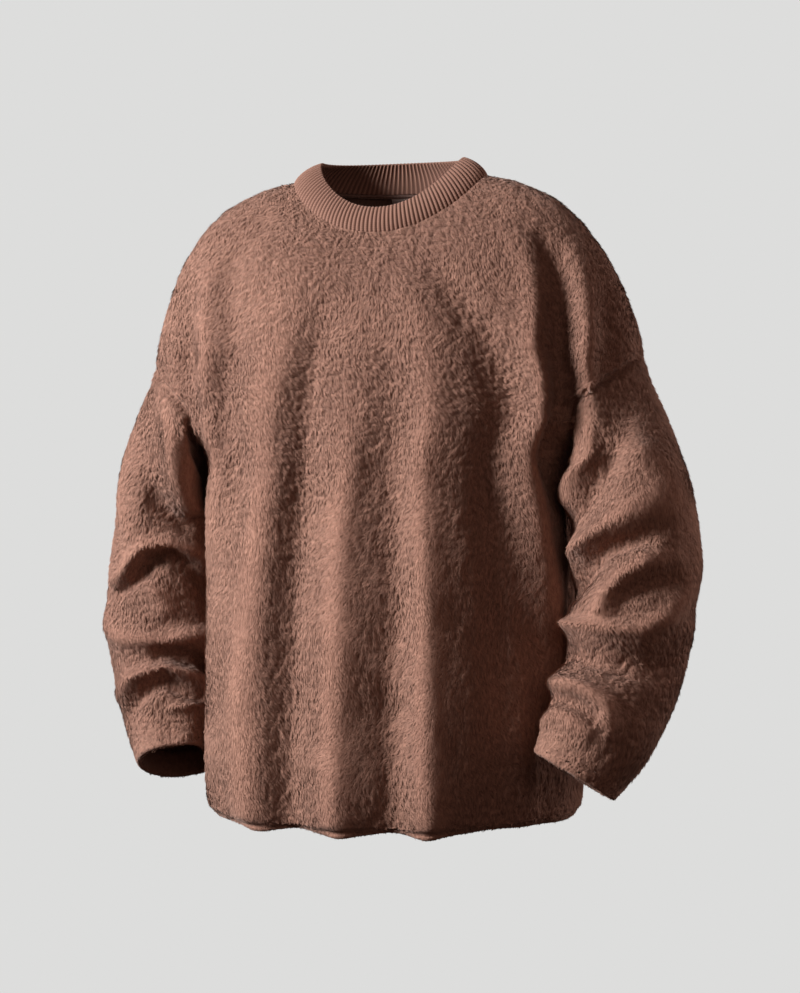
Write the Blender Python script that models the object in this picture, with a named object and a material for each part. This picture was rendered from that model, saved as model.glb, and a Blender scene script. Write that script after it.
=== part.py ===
"""A fleece pullover as it hangs when worn: front, back, two sleeves, ribbed neckband, neck tape, blank label.

The whole garment is one net of points. Rows of the front and back run round the body, and each sleeve starts
on the armhole that the two leave open. Folds move the net's points in or out. The cloth's inside lies one wall
thickness behind its outside, and the pieces part by a hair at the seams.
"""
import math
from collections import namedtuple

import bpy
import numpy as np

# Driving dimensions, in metres. +X is the wearer's left, -Y the front, +Z up.
# The origin lies in the middle of the neck, level with the shoulder ends of the neck seam.
PILE_WALL = 0.0055        # knitted base and pile together
HEM_WALL = 0.0085         # two layers where the hem and cuffs are turned up
HEM_TURN_UP = 0.030
SEAM_GAP = 0.0003
SEAM_SINK = 0.0015        # the sewn line lies below the pile on both sides of it
GIRTH_QUARTER = 0.29      # a quarter of the body's girth, the unit of the fold table
SLEEVE_LENGTH = 0.42      # armhole to cuff, the unit of the sleeves' fold tables
SLEEVE_QUARTER = 0.103
FOLD_LEAST = 0.020        # the narrowest fold that the net can carry
FOLD_MOST = 0.018         # the deepest one

# Rings of the body, from the hem up to the neck seam.
RING_COLUMNS = ("lean_x", "side_x", "side_y", "side_z", "front_y", "front_z", "back_y", "back_z",
                "square", "sweep")
RINGS = (
    (0.000, 0.1950, 0.000, -0.6760, -0.147, -0.683, 0.147, -0.680, 2.30, 2.0),   # hem edge
    (0.000, 0.2020, 0.000, -0.6550, -0.156, -0.662, 0.155, -0.659, 2.40, 2.0),   # hem at its full width
    (0.000, 0.2030, 0.000, -0.5650, -0.157, -0.570, 0.157, -0.569, 2.50, 2.0),   # hip
    (0.000, 0.2010, 0.000, -0.4600, -0.152, -0.466, 0.155, -0.464, 2.60, 2.0),   # waist
    (0.000, 0.2010, 0.000, -0.3650, -0.144, -0.375, 0.152, -0.370, 2.70, 2.0),   # chest
    (0.001, 0.2040, -0.004, -0.292, -0.137, -0.312, 0.148, -0.300, 2.75, 2.0),   # underarm
    (0.003, 0.2560, -0.012, -0.240, -0.131, -0.267, 0.144, -0.246, 2.30, 2.0),   # middle of the armhole
    (0.005, 0.2670, -0.018, -0.188, -0.124, -0.225, 0.139, -0.194, 2.20, 2.0),   # outer end of the shoulder seam
    (0.005, 0.2530, -0.024, -0.133, -0.117, -0.186, 0.130, -0.143, 2.15, 2.0),
    (0.003, 0.2270, -0.027, -0.078, -0.108, -0.151, 0.117, -0.097, 2.10, 1.9),
    (0.001, 0.1900, -0.025, -0.035, -0.098, -0.119, 0.100, -0.057, 2.10, 1.8),
    (0.000, 0.1470, -0.020, -0.011, -0.085, -0.090, 0.081, -0.026, 2.10, 1.7),
    (0.000, 0.1070, -0.016, 0.0000, -0.070, -0.063, 0.061, -0.006, 2.10, 1.6),   # neck seam
)
UNDERARM_RING = 5
TIP_RING = 7
NECK_RING = len(RINGS) - 1
ARMHOLE_CUT = 0.32        # how far the armhole cuts into a quarter of the body
ROW_FAN = 0.7             # how far the net's rows fan out from the armhole, in rings

# The net's resolution.
ROWS_BELOW = 12
ROWS_ARMHOLE = 12
ROWS_SHOULDER = 9
COLUMNS_FRONT = 32
COLUMNS_BACK = 28
SLEEVE_ROWS = 25
RING_STEPS = 24           # steps between two rings where the body's plain surface is worked out
GIRTH_STEPS = 64          # and along a quarter of its girth

# Centre lines of the sleeves, with half widths across the arm and fore and aft.
SLEEVE_COLUMNS = ("x", "y", "z", "across", "fore")
SLEEVE_LEFT = (
    (0.2370, -0.014, -0.240, 0.0550, 0.068),
    (0.2560, -0.028, -0.292, 0.0600, 0.072),
    (0.2680, -0.045, -0.344, 0.0635, 0.067),
    (0.2735, -0.052, -0.400, 0.0645, 0.067),
    (0.2740, -0.058, -0.446, 0.0635, 0.067),
    (0.2700, -0.067, -0.487, 0.0630, 0.066),
    (0.2610, -0.080, -0.530, 0.0620, 0.064),
    (0.2460, -0.100, -0.577, 0.0570, 0.061),
    (0.2235, -0.111, -0.618, 0.0490, 0.056),
)
SLEEVE_RIGHT = (
    (-0.2370, -0.014, -0.240, 0.0550, 0.068),
    (-0.2530, -0.008, -0.292, 0.0530, 0.072),
    (-0.2680, 0.004, -0.344, 0.0500, 0.069),
    (-0.2705, 0.013, -0.392, 0.0585, 0.067),
    (-0.2725, 0.021, -0.440, 0.0650, 0.066),
    (-0.2730, 0.020, -0.487, 0.0650, 0.066),
    (-0.2690, 0.015, -0.535, 0.0590, 0.065),
    (-0.2590, 0.005, -0.586, 0.0525, 0.062),
    (-0.2480, -0.012, -0.628, 0.0430, 0.057),
)
SLEEVE_TWIST = {"left": 0.0, "right": 0.25}     # turn of the sleeve's front towards the body, in radians
SLEEVE_SQUARE = {"left": 2.4, "right": 3.4}     # how square the sleeve is next to the body, 2 being round
SLEEVE_BLEND = 0.24       # share of the length over which the armhole's outline turns into the sleeve's
SLEEVE_PUFF = 0.010       # how far the sleeve stands off the body just below the underarm seam
SLEEVE_PUFF_END = 0.025   # share of the length over which it comes to stand off

# Drape folds of the body, each a line of (girth, height, rise, width).
# Girth counts quarters: 0 front centre, 1 wearer's left side, 2 back centre, -1 wearer's right side.
BODY_FOLDS = {
    "shoulder crest, right": ((-0.74, -0.10, 0.004, 0.018), (-0.60, -0.19, 0.008, 0.018),
                              (-0.62, -0.38, 0.005, 0.022)),
    "shoulder valley, right": ((-0.66, -0.09, -0.004, 0.018), (-0.49, -0.19, -0.007, 0.018),
                               (-0.50, -0.36, -0.003, 0.020)),
    "armpit valley, right": ((-0.80, -0.12, -0.004, 0.014), (-0.70, -0.19, -0.012, 0.014),
                             (-0.63, -0.25, -0.011, 0.016), (-0.72, -0.30, -0.003, 0.018)),
    "front crest 1": ((-0.33, -0.18, 0.001, 0.030), (-0.35, -0.34, 0.009, 0.024), (-0.38, -0.47, 0.011, 0.024),
                      (-0.42, -0.56, 0.011, 0.026), (-0.39, -0.70, 0.011, 0.024)),
    "front valley 1": ((-0.17, -0.15, -0.003, 0.020), (-0.20, -0.22, -0.008, 0.018), (-0.20, -0.30, -0.010, 0.018),
                       (-0.22, -0.42, -0.012, 0.018), (-0.24, -0.70, -0.013, 0.020)),
    "front crest 2": ((-0.02, -0.20, 0.001, 0.024), (-0.035, -0.37, 0.010, 0.020), (-0.035, -0.50, 0.011, 0.020),
                      (-0.045, -0.70, 0.012, 0.020)),
    "front valley 2": ((0.10, -0.18, -0.001, 0.024), (0.14, -0.34, -0.008, 0.022), (0.155, -0.45, -0.011, 0.020),
                       (0.145, -0.70, -0.013, 0.020)),
    "front crest 3": ((0.20, -0.14, 0.003, 0.026), (0.235, -0.27, 0.008, 0.021), (0.27, -0.42, 0.011, 0.020),
                      (0.29, -0.70, 0.013, 0.020)),
    "front valley 3": ((0.31, -0.11, -0.003, 0.022), (0.41, -0.17, -0.010, 0.022), (0.47, -0.25, -0.017, 0.021),
                       (0.50, -0.34, -0.018, 0.022), (0.53, -0.46, -0.016, 0.025), (0.55, -0.70, -0.011, 0.030)),
    "front crest 3b": ((0.50, -0.44, 0.001, 0.012), (0.53, -0.60, 0.001, 0.014)),
    "front valley 4": ((0.52, -0.32, -0.004, 0.016), (0.60, -0.40, -0.010, 0.016), (0.67, -0.48, -0.011, 0.020),
                       (0.72, -0.56, -0.009, 0.026), (0.76, -0.70, -0.006, 0.030)),
    "armpit crest, left": ((0.70, -0.08, 0.003, 0.016), (0.57, -0.19, 0.009, 0.014), (0.615, -0.26, 0.011, 0.014),
                           (0.69, -0.375, 0.012, 0.017), (0.78, -0.45, 0.008, 0.022), (0.90, -0.60, 0.003, 0.026)),
    "armpit valley, left": ((0.78, -0.08, -0.006, 0.014), (0.655, -0.19, -0.027, 0.0115),
                            (0.67, -0.25, -0.028, 0.012), (0.76, -0.31, -0.012, 0.018),
                            (0.95, -0.36, -0.004, 0.026)),
    "shoulder crest, left": ((0.87, -0.09, 0.003, 0.016), (0.82, -0.12, 0.006, 0.015), (0.735, -0.20, 0.010, 0.014),
                             (0.755, -0.25, 0.008, 0.013)),
    "shoulder dip, left": ((0.92, -0.10, -0.002, 0.016), (0.84, -0.17, -0.006, 0.015), (0.79, -0.21, -0.004, 0.014)),
    "arm hollow, left": ((1.10, -0.34, -0.010, 0.040), (1.12, -0.41, -0.011, 0.050), (1.14, -0.48, -0.012, 0.050),
                         (1.10, -0.56, -0.006, 0.050)),
    "arm hollow, right": ((-1.20, -0.30, -0.018, 0.034), (-1.26, -0.35, -0.030, 0.042), (-1.16, -0.41, -0.020, 0.050),
                          (-1.08, -0.54, -0.012, 0.060)),
    "chest swell": ((-0.40, -0.10, 0.004, 0.050), (-0.30, -0.20, 0.005, 0.050)),
    "back crest 1": ((1.30, -0.24, 0.001, 0.026), (1.33, -0.70, 0.009, 0.028)),
    "back valley 1": ((1.40, -0.10, -0.003, 0.024), (1.50, -0.30, -0.009, 0.022), (1.52, -0.70, -0.010, 0.024)),
    "back crest 2": ((1.58, -0.12, 0.002, 0.028), (1.70, -0.42, 0.007, 0.026), (1.72, -0.70, 0.010, 0.028)),
    "back valley 2": ((1.86, -0.22, -0.001, 0.024), (1.88, -0.70, -0.010, 0.024)),
    "back crest 3": ((2.06, -0.18, 0.001, 0.028), (2.04, -0.70, 0.009, 0.026)),
    "back valley 3": ((2.24, -0.16, -0.002, 0.024), (2.22, -0.70, -0.010, 0.024)),
    "back crest 4": ((2.40, -0.11, 0.003, 0.026), (2.37, -0.45, 0.008, 0.026), (2.40, -0.70, 0.010, 0.028)),
    "back valley 4": ((2.62, -0.09, -0.004, 0.024), (2.54, -0.30, -0.009, 0.022), (2.57, -0.70, -0.009, 0.024)),
    "back crest 5": ((2.72, -0.24, 0.002, 0.028), (2.74, -0.70, 0.009, 0.028)),
}

# Folds of the sleeves, each a line of (girth, length from the armhole, rise, width).
# Girth counts quarters: 0 outer side, 1 front, 2 inner side, 3 back.
SLEEVE_LEFT_FOLDS = {
    "underarm swell": ((1.28, 0.008, 0.012, 0.018), (1.50, 0.022, 0.017, 0.022), (1.70, 0.042, 0.020, 0.027),
                       (1.85, 0.080, 0.014, 0.027)),
    "inner swell": ((2.15, 0.110, 0.004, 0.030), (2.05, 0.205, 0.009, 0.028), (2.20, 0.260, 0.005, 0.030)),
    "upper crest": ((0.72, 0.004, 0.004, 0.014), (1.00, 0.034, 0.009, 0.014), (1.35, 0.072, 0.010, 0.014),
                    (1.65, 0.100, 0.008, 0.015)),
    "upper valley": ((0.45, 0.022, -0.006, 0.013), (0.75, 0.056, -0.012, 0.014), (1.08, 0.088, -0.014, 0.014),
                     (1.45, 0.116, -0.012, 0.014), (1.75, 0.126, -0.006, 0.014)),
    "lap over the elbow": ((1.75, 0.152, 0.006, 0.012), (1.50, 0.147, 0.009, 0.011), (1.22, 0.136, 0.011, 0.011),
                           (0.90, 0.124, 0.010, 0.013), (0.55, 0.116, 0.007, 0.016), (0.20, 0.108, 0.002, 0.018)),
    "elbow notch": ((1.95, 0.205, -0.010, 0.018), (1.72, 0.198, -0.026, 0.018), (1.50, 0.178, -0.030, 0.016),
                    (1.22, 0.157, -0.020, 0.011), (0.92, 0.149, -0.011, 0.008), (0.62, 0.140, -0.003, 0.010)),
    "elbow crest": ((1.22, 0.238, 0.010, 0.012), (1.16, 0.215, 0.013, 0.012), (1.00, 0.186, 0.013, 0.012),
                    (0.78, 0.171, 0.010, 0.012), (0.50, 0.163, 0.004, 0.014)),
    "elbow dimple": ((0.98, 0.212, -0.008, 0.011), (0.72, 0.196, -0.008, 0.012), (0.55, 0.190, -0.004, 0.014)),
    "forearm crest": ((1.75, 0.258, 0.013, 0.013), (1.58, 0.262, 0.016, 0.013), (1.17, 0.264, 0.010, 0.012),
                      (0.81, 0.260, 0.011, 0.013), (0.53, 0.234, 0.011, 0.015), (0.34, 0.203, 0.008, 0.016),
                      (0.05, 0.180, 0.003, 0.020)),
    "forearm valley": ((1.80, 0.300, -0.012, 0.014), (1.33, 0.307, -0.015, 0.016), (0.89, 0.304, -0.015, 0.018),
                       (0.53, 0.296, -0.011, 0.018), (0.20, 0.268, -0.005, 0.018)),
    "cuff lap": ((1.80, 0.338, 0.010, 0.012), (1.60, 0.343, 0.011, 0.011), (1.28, 0.345, 0.012, 0.010),
                 (0.95, 0.352, 0.010, 0.010), (0.82, 0.366, 0.006, 0.010)),
    "cuff crease": ((1.60, 0.360, -0.004, 0.006), (1.27, 0.359, -0.007, 0.006), (1.02, 0.364, -0.005, 0.006)),
    "cuff swell": ((1.75, 0.390, 0.006, 0.014), (1.45, 0.374, 0.007, 0.012), (1.05, 0.376, 0.007, 0.012)),
    "outer swell": ((0.62, 0.080, 0.006, 0.018), (0.30, 0.120, 0.004, 0.030), (0.05, 0.160, 0.004, 0.030)),
    "back crest 1": ((2.40, 0.150, 0.006, 0.018), (3.00, 0.130, 0.008, 0.020), (3.60, 0.150, 0.005, 0.020)),
    "back valley 1": ((2.40, 0.190, -0.008, 0.016), (3.00, 0.180, -0.010, 0.018), (3.60, 0.190, -0.006, 0.018)),
    "back crest 2": ((2.40, 0.240, 0.007, 0.018), (3.00, 0.230, 0.009, 0.018), (3.60, 0.235, 0.005, 0.020)),
    "back valley 2": ((2.40, 0.300, -0.007, 0.018), (3.00, 0.290, -0.009, 0.018), (3.50, 0.290, -0.004, 0.020)),
}
SLEEVE_RIGHT_FOLDS = {
    "underarm swell": ((1.30, 0.010, 0.010, 0.018), (1.50, 0.028, 0.020, 0.022), (1.66, 0.052, 0.014, 0.022),
                       (1.72, 0.080, 0.004, 0.022)),
    "inner swell": ((2.10, 0.180, 0.003, 0.030), (2.10, 0.300, 0.003, 0.030)),
    "long crest": ((0.56, 0.008, 0.007, 0.012), (1.02, 0.030, 0.012, 0.012), (1.34, 0.060, 0.014, 0.013),
                   (1.62, 0.096, 0.014, 0.014), (1.80, 0.135, 0.010, 0.016)),
    "long valley": ((0.40, 0.025, -0.007, 0.013), (0.74, 0.062, -0.012, 0.014), (1.08, 0.092, -0.012, 0.013),
                    (1.40, 0.120, -0.008, 0.012)),
    "outer swell": ((0.15, 0.040, 0.004, 0.020), (0.42, 0.100, 0.005, 0.020), (0.66, 0.128, 0.005, 0.018)),
    "lap over the elbow": ((0.45, 0.198, 0.004, 0.012), (0.67, 0.167, 0.010, 0.011), (0.89, 0.143, 0.012, 0.010),
                           (1.19, 0.142, 0.012, 0.010), (1.44, 0.156, 0.011, 0.011), (1.70, 0.186, 0.009, 0.014)),
    "elbow arch": ((0.52, 0.215, -0.006, 0.011), (0.74, 0.188, -0.013, 0.010), (0.93, 0.163, -0.018, 0.009),
                   (1.17, 0.158, -0.018, 0.009), (1.38, 0.171, -0.014, 0.010), (1.70, 0.208, -0.010, 0.014)),
    "forearm dome": ((1.00, 0.205, 0.008, 0.016), (1.10, 0.235, 0.008, 0.016)),
    "forearm dip": ((1.50, 0.212, -0.006, 0.014), (1.66, 0.240, -0.007, 0.016)),
    "forearm crest": ((0.20, 0.255, 0.005, 0.016), (0.61, 0.274, 0.010, 0.014), (1.11, 0.281, 0.011, 0.013),
                      (1.50, 0.270, 0.010, 0.013), (1.78, 0.262, 0.008, 0.014)),
    "forearm valley": ((1.06, 0.296, -0.010, 0.009), (1.24, 0.300, -0.016, 0.009), (1.52, 0.310, -0.019, 0.010),
                       (1.72, 0.325, -0.018, 0.012), (2.00, 0.335, -0.010, 0.014)),
    "wrist crest": ((0.30, 0.338, 0.005, 0.012), (0.72, 0.322, 0.010, 0.009), (1.11, 0.317, 0.011, 0.008),
                    (1.39, 0.328, 0.011, 0.009), (1.70, 0.350, 0.009, 0.011)),
    "wrist arch": ((0.30, 0.372, -0.004, 0.012), (0.50, 0.357, -0.010, 0.010), (0.84, 0.341, -0.013, 0.009),
                   (1.08, 0.334, -0.012, 0.008), (1.34, 0.350, -0.009, 0.009), (1.60, 0.368, -0.006, 0.010)),
    "cuff lap": ((1.20, 0.372, 0.004, 0.010), (1.60, 0.366, 0.007, 0.011), (1.90, 0.372, 0.006, 0.013)),
    "back crest 1": ((2.40, 0.160, 0.006, 0.018), (3.00, 0.140, 0.008, 0.020), (3.60, 0.155, 0.004, 0.020)),
    "back valley 1": ((2.40, 0.205, -0.008, 0.016), (3.00, 0.190, -0.010, 0.018), (3.60, 0.200, -0.005, 0.018)),
    "back crest 2": ((2.40, 0.250, 0.007, 0.018), (3.00, 0.240, 0.009, 0.018), (3.60, 0.245, 0.005, 0.020)),
    "back valley 2": ((2.40, 0.310, -0.007, 0.018), (3.00, 0.300, -0.009, 0.018), (3.50, 0.300, -0.004, 0.020)),
}

# The ribbed neckband stands on the neck seam.
RIM = (0.000, 0.0790, -0.004, 0.0180, -0.060, -0.038, 0.052, 0.022, 2.10, 1.6)
RIBS = 116
RIB_HEIGHT = 0.0016
RIB_WALL = 0.0036
RIB_BULGE = 0.0030        # how far the band's middle stands out from the straight way up to its rim
RIM_ROUNDING = 0.0006

# Inside the back of the neck: a tape over the seam, and a blank label below it.
LINING_GAP = 0.0003
TAPE_DROP = 0.0008        # the tape's upper edge lies this far below the seam
TAPE_HEIGHT = 0.0045
TAPE_THICKNESS = 0.0008
LABEL_WIDTH = 0.042
LABEL_HEIGHT = 0.030
LABEL_THICKNESS = 0.0006

COLOURS = {
    "fleece": (0.235, 0.115, 0.080),
    "rib": (0.200, 0.098, 0.070),
    "tape": (0.120, 0.060, 0.045),
    "label": (0.300, 0.270, 0.260),
}

# A net of points. Rows run up the body or down a sleeve. Its outward normal is turn * (across x along the rows).
Net = namedtuple("Net", "points girth height closed turn")


def smooth(t):
    """0 to 1 with level ends."""
    t = np.clip(t, 0.0, 1.0)
    return t * t * (3 - 2 * t)


def along(table, v):
    """The table's row at v, between its rows on a smooth curve."""
    rows = np.array(table, float)
    last = len(rows) - 1
    v = min(max(v, 0.0), float(last))
    k = min(int(v), last - 1)
    t = v - k
    before, start, end, after = (rows[min(max(i, 0), last)] for i in (k - 1, k, k + 1, k + 2))
    if k == 0:
        before = 2 * start - end
    if k == last - 1:
        after = 2 * end - start
    leave, arrive = (end - before) / 2, (after - start) / 2
    return ((2 * t**3 - 3 * t**2 + 1) * start + (t**3 - 2 * t**2 + t) * leave
            + (3 * t**2 - 2 * t**3) * end + (t**3 - t**2) * arrive)


def spaced(points, shares):
    """Points at those shares of a polyline's length."""
    lengths = np.r_[0, np.cumsum(np.linalg.norm(np.diff(points, axis=0), axis=1))]
    at = np.asarray(shares) * lengths[-1]
    return np.stack([np.interp(at, lengths, points[:, i]) for i in range(3)], axis=1)


def half_ring(row, back, shares, samples=120):
    """Points of one ring's front or back half, from the wearer's right side to the left. Shares of the quarter
    from its centre to its side place them."""
    ring = dict(zip(RING_COLUMNS, row))
    angle = np.linspace(0, math.pi / 2, samples)
    centre_y, centre_z = (ring["back_y"], ring["back_z"]) if back else (ring["front_y"], ring["front_z"])
    across = np.sin(angle) ** (2 / ring["square"])
    depth = np.clip(np.cos(angle), 0, 1) ** (2 / ring["square"])
    sweep = np.clip(np.cos(angle), 0, 1) ** ring["sweep"]
    dense = np.stack([ring["side_x"] * across,
                      ring["side_y"] + (centre_y - ring["side_y"]) * depth,
                      ring["side_z"] + (centre_z - ring["side_z"]) * sweep], axis=1)
    quarter = spaced(dense, shares)
    return np.vstack([quarter[:0:-1] * (-1, 1, 1), quarter]) + (ring["lean_x"], 0, 0)


def armhole_share(v):
    """How far round towards the side the cloth reaches before the armhole seam."""
    down = np.clip((TIP_RING - v) / (TIP_RING - UNDERARM_RING), 0, 1)
    return 1.0 - ARMHOLE_CUT * np.clip(np.sin(math.pi * down**1.15), 0, 1) ** (1 - 0.36 * smooth(down))


def row_levels():
    """Ring positions of the net's rows at the seams, from the hem to the neck, and how far each row's middle
    lies above that. The rows fan out round the armholes."""
    step = np.arange(ROWS_BELOW) / ROWS_BELOW
    turn = np.arange(ROWS_ARMHOLE + 1) / ROWS_ARMHOLE
    climb = np.arange(1, ROWS_SHOULDER + 1) / ROWS_SHOULDER
    seam = np.concatenate([UNDERARM_RING * (1.2 * step - 0.2 * step**3),
                           UNDERARM_RING + (TIP_RING - UNDERARM_RING) * turn,
                           TIP_RING + (NECK_RING - TIP_RING) * (0.8 * climb + 0.2 * climb**2)])
    fan = np.concatenate([-(step**2), 2 * turn - 1, (1 - climb) ** 1.5]) * ROW_FAN
    return seam, fan


def body_surface(back):
    """Dense points of the body's plain surface, by ring position and girth."""
    return np.array([half_ring(along(RINGS, v), back, np.linspace(0, 1, GIRTH_STEPS + 1))
                     for v in np.arange(NECK_RING * RING_STEPS + 1) / RING_STEPS])


def surface_points(surface, v, share):
    """Points of the body's surface at ring positions v and shares of the quarter, negative on the right."""
    a, b = v * RING_STEPS, (share + 1) * GIRTH_STEPS
    i = np.clip(a.astype(int), 0, len(surface) - 2)
    j = np.clip(b.astype(int), 0, surface.shape[1] - 2)
    s, t = (a - i)[..., None], (b - j)[..., None]
    return ((surface[i, j] * (1 - s) + surface[i + 1, j] * s) * (1 - t)
            + (surface[i, j + 1] * (1 - s) + surface[i + 1, j + 1] * s) * t)


def panel_net(back):
    """The front or back. Columns run from the wearer's right to the left in front, and on round the back."""
    seam, fan = row_levels()
    even = np.linspace(-1, 1, (COLUMNS_BACK if back else COLUMNS_FRONT) + 1)
    v = seam[:, None] + fan[:, None] * (1 - even**2)
    share = even - np.sign(even) * (1 - armhole_share(seam))[:, None] * np.abs(even) ** 2
    points = surface_points(body_surface(back), v, share)
    girth = 2 - share if back else share
    if back:
        points, girth = points[:, ::-1], girth[:, ::-1]
    return Net(points, girth, points[:, :, 2].copy(), False, 1)


def net_faces(net):
    """Point numbers of the net's quads, each in the order that faces out."""
    rows, columns = net.points.shape[:2]
    i, j = np.meshgrid(np.arange(rows - 1), np.arange(columns if net.closed else columns - 1), indexing="ij")
    i, j = i.ravel(), j.ravel()
    k = (j + 1) % columns
    quads = np.stack([i * columns + j, i * columns + k, (i + 1) * columns + k, (i + 1) * columns + j], axis=1)
    return quads if net.turn > 0 else quads[:, ::-1]


def shared_normals(nets, easing=0):
    """Outward normals of all nets. Points that lie in one place, as at a seam, share one normal.
    Each easing levels every normal with its neighbours."""
    points = np.vstack([net.points.reshape(-1, 3) for net in nets])
    first = np.cumsum([0] + [net.points.size // 3 for net in nets])
    quads = np.vstack([net_faces(net) + start for net, start in zip(nets, first)])
    faces = np.cross(points[quads[:, 2]] - points[quads[:, 0]], points[quads[:, 3]] - points[quads[:, 1]])
    faces /= np.maximum(np.sqrt(np.linalg.norm(faces, axis=1, keepdims=True)), 1e-9)
    place = np.unique(np.round(points, 6), axis=0, return_inverse=True)[1].ravel()
    corners = place[quads]
    for _ in range(easing + 1):
        shared = np.zeros((place.max() + 1, 3))
        for corner in range(4):
            np.add.at(shared, corners[:, corner], faces)
        shared /= np.maximum(np.linalg.norm(shared, axis=1, keepdims=True), 1e-12)
        faces = shared[corners].mean(axis=1)
    normals = shared[place]
    return [normals[a:b].reshape(net.points.shape) for net, a, b in zip(nets, first[:-1], first[1:])]


def fold_rise(folds, net, girth_unit):
    """Height of all the folds at each point of a net."""
    total = np.zeros(net.girth.shape)
    for line in folds.values():
        rise = np.zeros(net.girth.shape)
        near = np.full(net.girth.shape, np.inf)
        for start, end in zip(line[:-1], line[1:]):
            a = ((net.girth - start[0] + 2) % 4 - 2) * girth_unit
            b = net.height - start[1]
            run, climb = (end[0] - start[0]) * girth_unit, end[1] - start[1]
            t = np.clip((a * run + b * climb) / (run * run + climb * climb), 0, 1)
            width = np.maximum(start[3] + (end[3] - start[3]) * t, FOLD_LEAST)
            distance = np.hypot(a - t * run, b - t * climb) / width
            value = (start[2] + (end[2] - start[2]) * t) * np.exp(-distance**2)
            rise = np.where(distance < near, value, rise)
            near = np.minimum(near, distance)
        total += rise
    return FOLD_MOST * np.tanh(total / FOLD_MOST)


def armhole_loop(front, back, left):
    """Armhole points of the two panels: from the shoulder down the front to the underarm, then up the back."""
    rows = slice(ROWS_BELOW, ROWS_BELOW + ROWS_ARMHOLE + 1)
    down = front[rows, -1 if left else 0][::-1]
    up = back[rows, 0 if left else -1]
    return np.vstack([down[:-1], up[:-1]])


def sleeve_net(centres, loop, off, left):
    """A sleeve from the armhole to the cuff. Columns run from its outer side to its front, inner side and back.
    The body's normals on the armhole say where off the body is."""
    count = len(loop)
    angle = 2 * math.pi * np.arange(count) / count
    hand = "left" if left else "right"
    power = np.where(np.cos(angle) < 0, SLEEVE_SQUARE[hand], 2.0)
    reach = (np.abs(np.cos(angle)) ** power + np.abs(np.sin(angle)) ** power) ** (-1 / power)
    puff = off * SLEEVE_PUFF * ((0.5 - 0.5 * np.cos(angle)) ** 0.6)[:, None]
    side = 1 if left else -1
    last = len(centres) - 1
    steps = np.linspace(0, 1, SLEEVE_ROWS + 1)
    rows = []
    for t in steps:
        here = dict(zip(SLEEVE_COLUMNS, along(centres, t * last)))
        centre = np.array([here["x"], here["y"], here["z"]])
        tangent = along(centres, t * last + 0.05)[:3] - along(centres, t * last - 0.05)[:3]
        tangent /= np.linalg.norm(tangent)
        fore = np.array([-side * math.sin(SLEEVE_TWIST[hand]), -math.cos(SLEEVE_TWIST[hand]), 0.0])
        fore -= tangent * fore.dot(tangent)
        fore /= np.linalg.norm(fore)
        across = np.cross(fore, tangent)
        across *= side * np.sign(across[0])
        section = (centre + np.outer(np.cos(angle) * reach, across) * here["across"]
                   + np.outer(np.sin(angle) * reach, fore) * here["fore"])
        carried = loop + (centre - np.array(centres[0][:3])) + puff * (1 - math.exp(-t / SLEEVE_PUFF_END))
        blend = smooth(t / SLEEVE_BLEND)
        rows.append(carried * (1 - blend) + section * blend)
    girth = np.tile(4.0 * np.arange(count) / count, (len(rows), 1))
    height = np.tile(steps[:, None] * SLEEVE_LENGTH, (1, count))
    return Net(np.array(rows), girth, height, True, side)


def garment_nets():
    """The outer nets of the front, back, left sleeve and right sleeve, folds included."""
    front, back = panel_net(False), panel_net(True)
    off_front, off_back = shared_normals([front, back])
    sleeves = [sleeve_net(centres, armhole_loop(front.points, back.points, left),
                          armhole_loop(off_front, off_back, left), left)
               for centres, left in ((SLEEVE_LEFT, True), (SLEEVE_RIGHT, False))]
    plain = [front, back] + sleeves
    normals = shared_normals(plain)
    moved = []
    for net, normal in zip(plain[:2], normals[:2]):
        level = normal * (1, 1, 0.25)
        rise = fold_rise(BODY_FOLDS, net, GIRTH_QUARTER)
        moved.append(net._replace(points=net.points + level * rise[:, :, None]))
    for net, normal, folds, left in ((plain[2], normals[2], SLEEVE_LEFT_FOLDS, True),
                                     (plain[3], normals[3], SLEEVE_RIGHT_FOLDS, False)):
        share = net.height / SLEEVE_LENGTH
        fade = smooth(share / 0.06) * (1 - 0.7 * smooth((share - 0.9) / 0.1))
        rise = fold_rise(folds, net, SLEEVE_QUARTER) * fade
        shift = armhole_loop(moved[0].points, moved[1].points, left) - net.points[0]
        carry = 1 - smooth(share / SLEEVE_BLEND)
        moved.append(net._replace(points=net.points + normal * rise[:, :, None] + shift[None] * carry[:, :, None]))
    return moved


def wall_depths(net):
    """Wall thickness at each point: two layers where the hem or cuff is turned up."""
    if net.closed:
        from_edge = SLEEVE_LENGTH - net.height
    else:
        from_edge = net.height - net.height[:1]
    turned = 1 - smooth((from_edge - HEM_TURN_UP + 0.006) / 0.012)
    return PILE_WALL + (HEM_WALL - PILE_WALL) * turned


def sink_seams(nets, normals):
    """Lower the points on the armhole seams, which the pile on both sides stands above."""
    panel_rows = slice(ROWS_BELOW, ROWS_BELOW + ROWS_ARMHOLE + 1)
    moved = []
    for net, normal in zip(nets, normals):
        points = net.points.copy()
        if net.closed:
            points[0] -= normal[0] * SEAM_SINK
        else:
            for column in (0, -1):
                points[panel_rows, column] -= normal[panel_rows, column] * SEAM_SINK
        moved.append(net._replace(points=points))
    return moved


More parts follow.
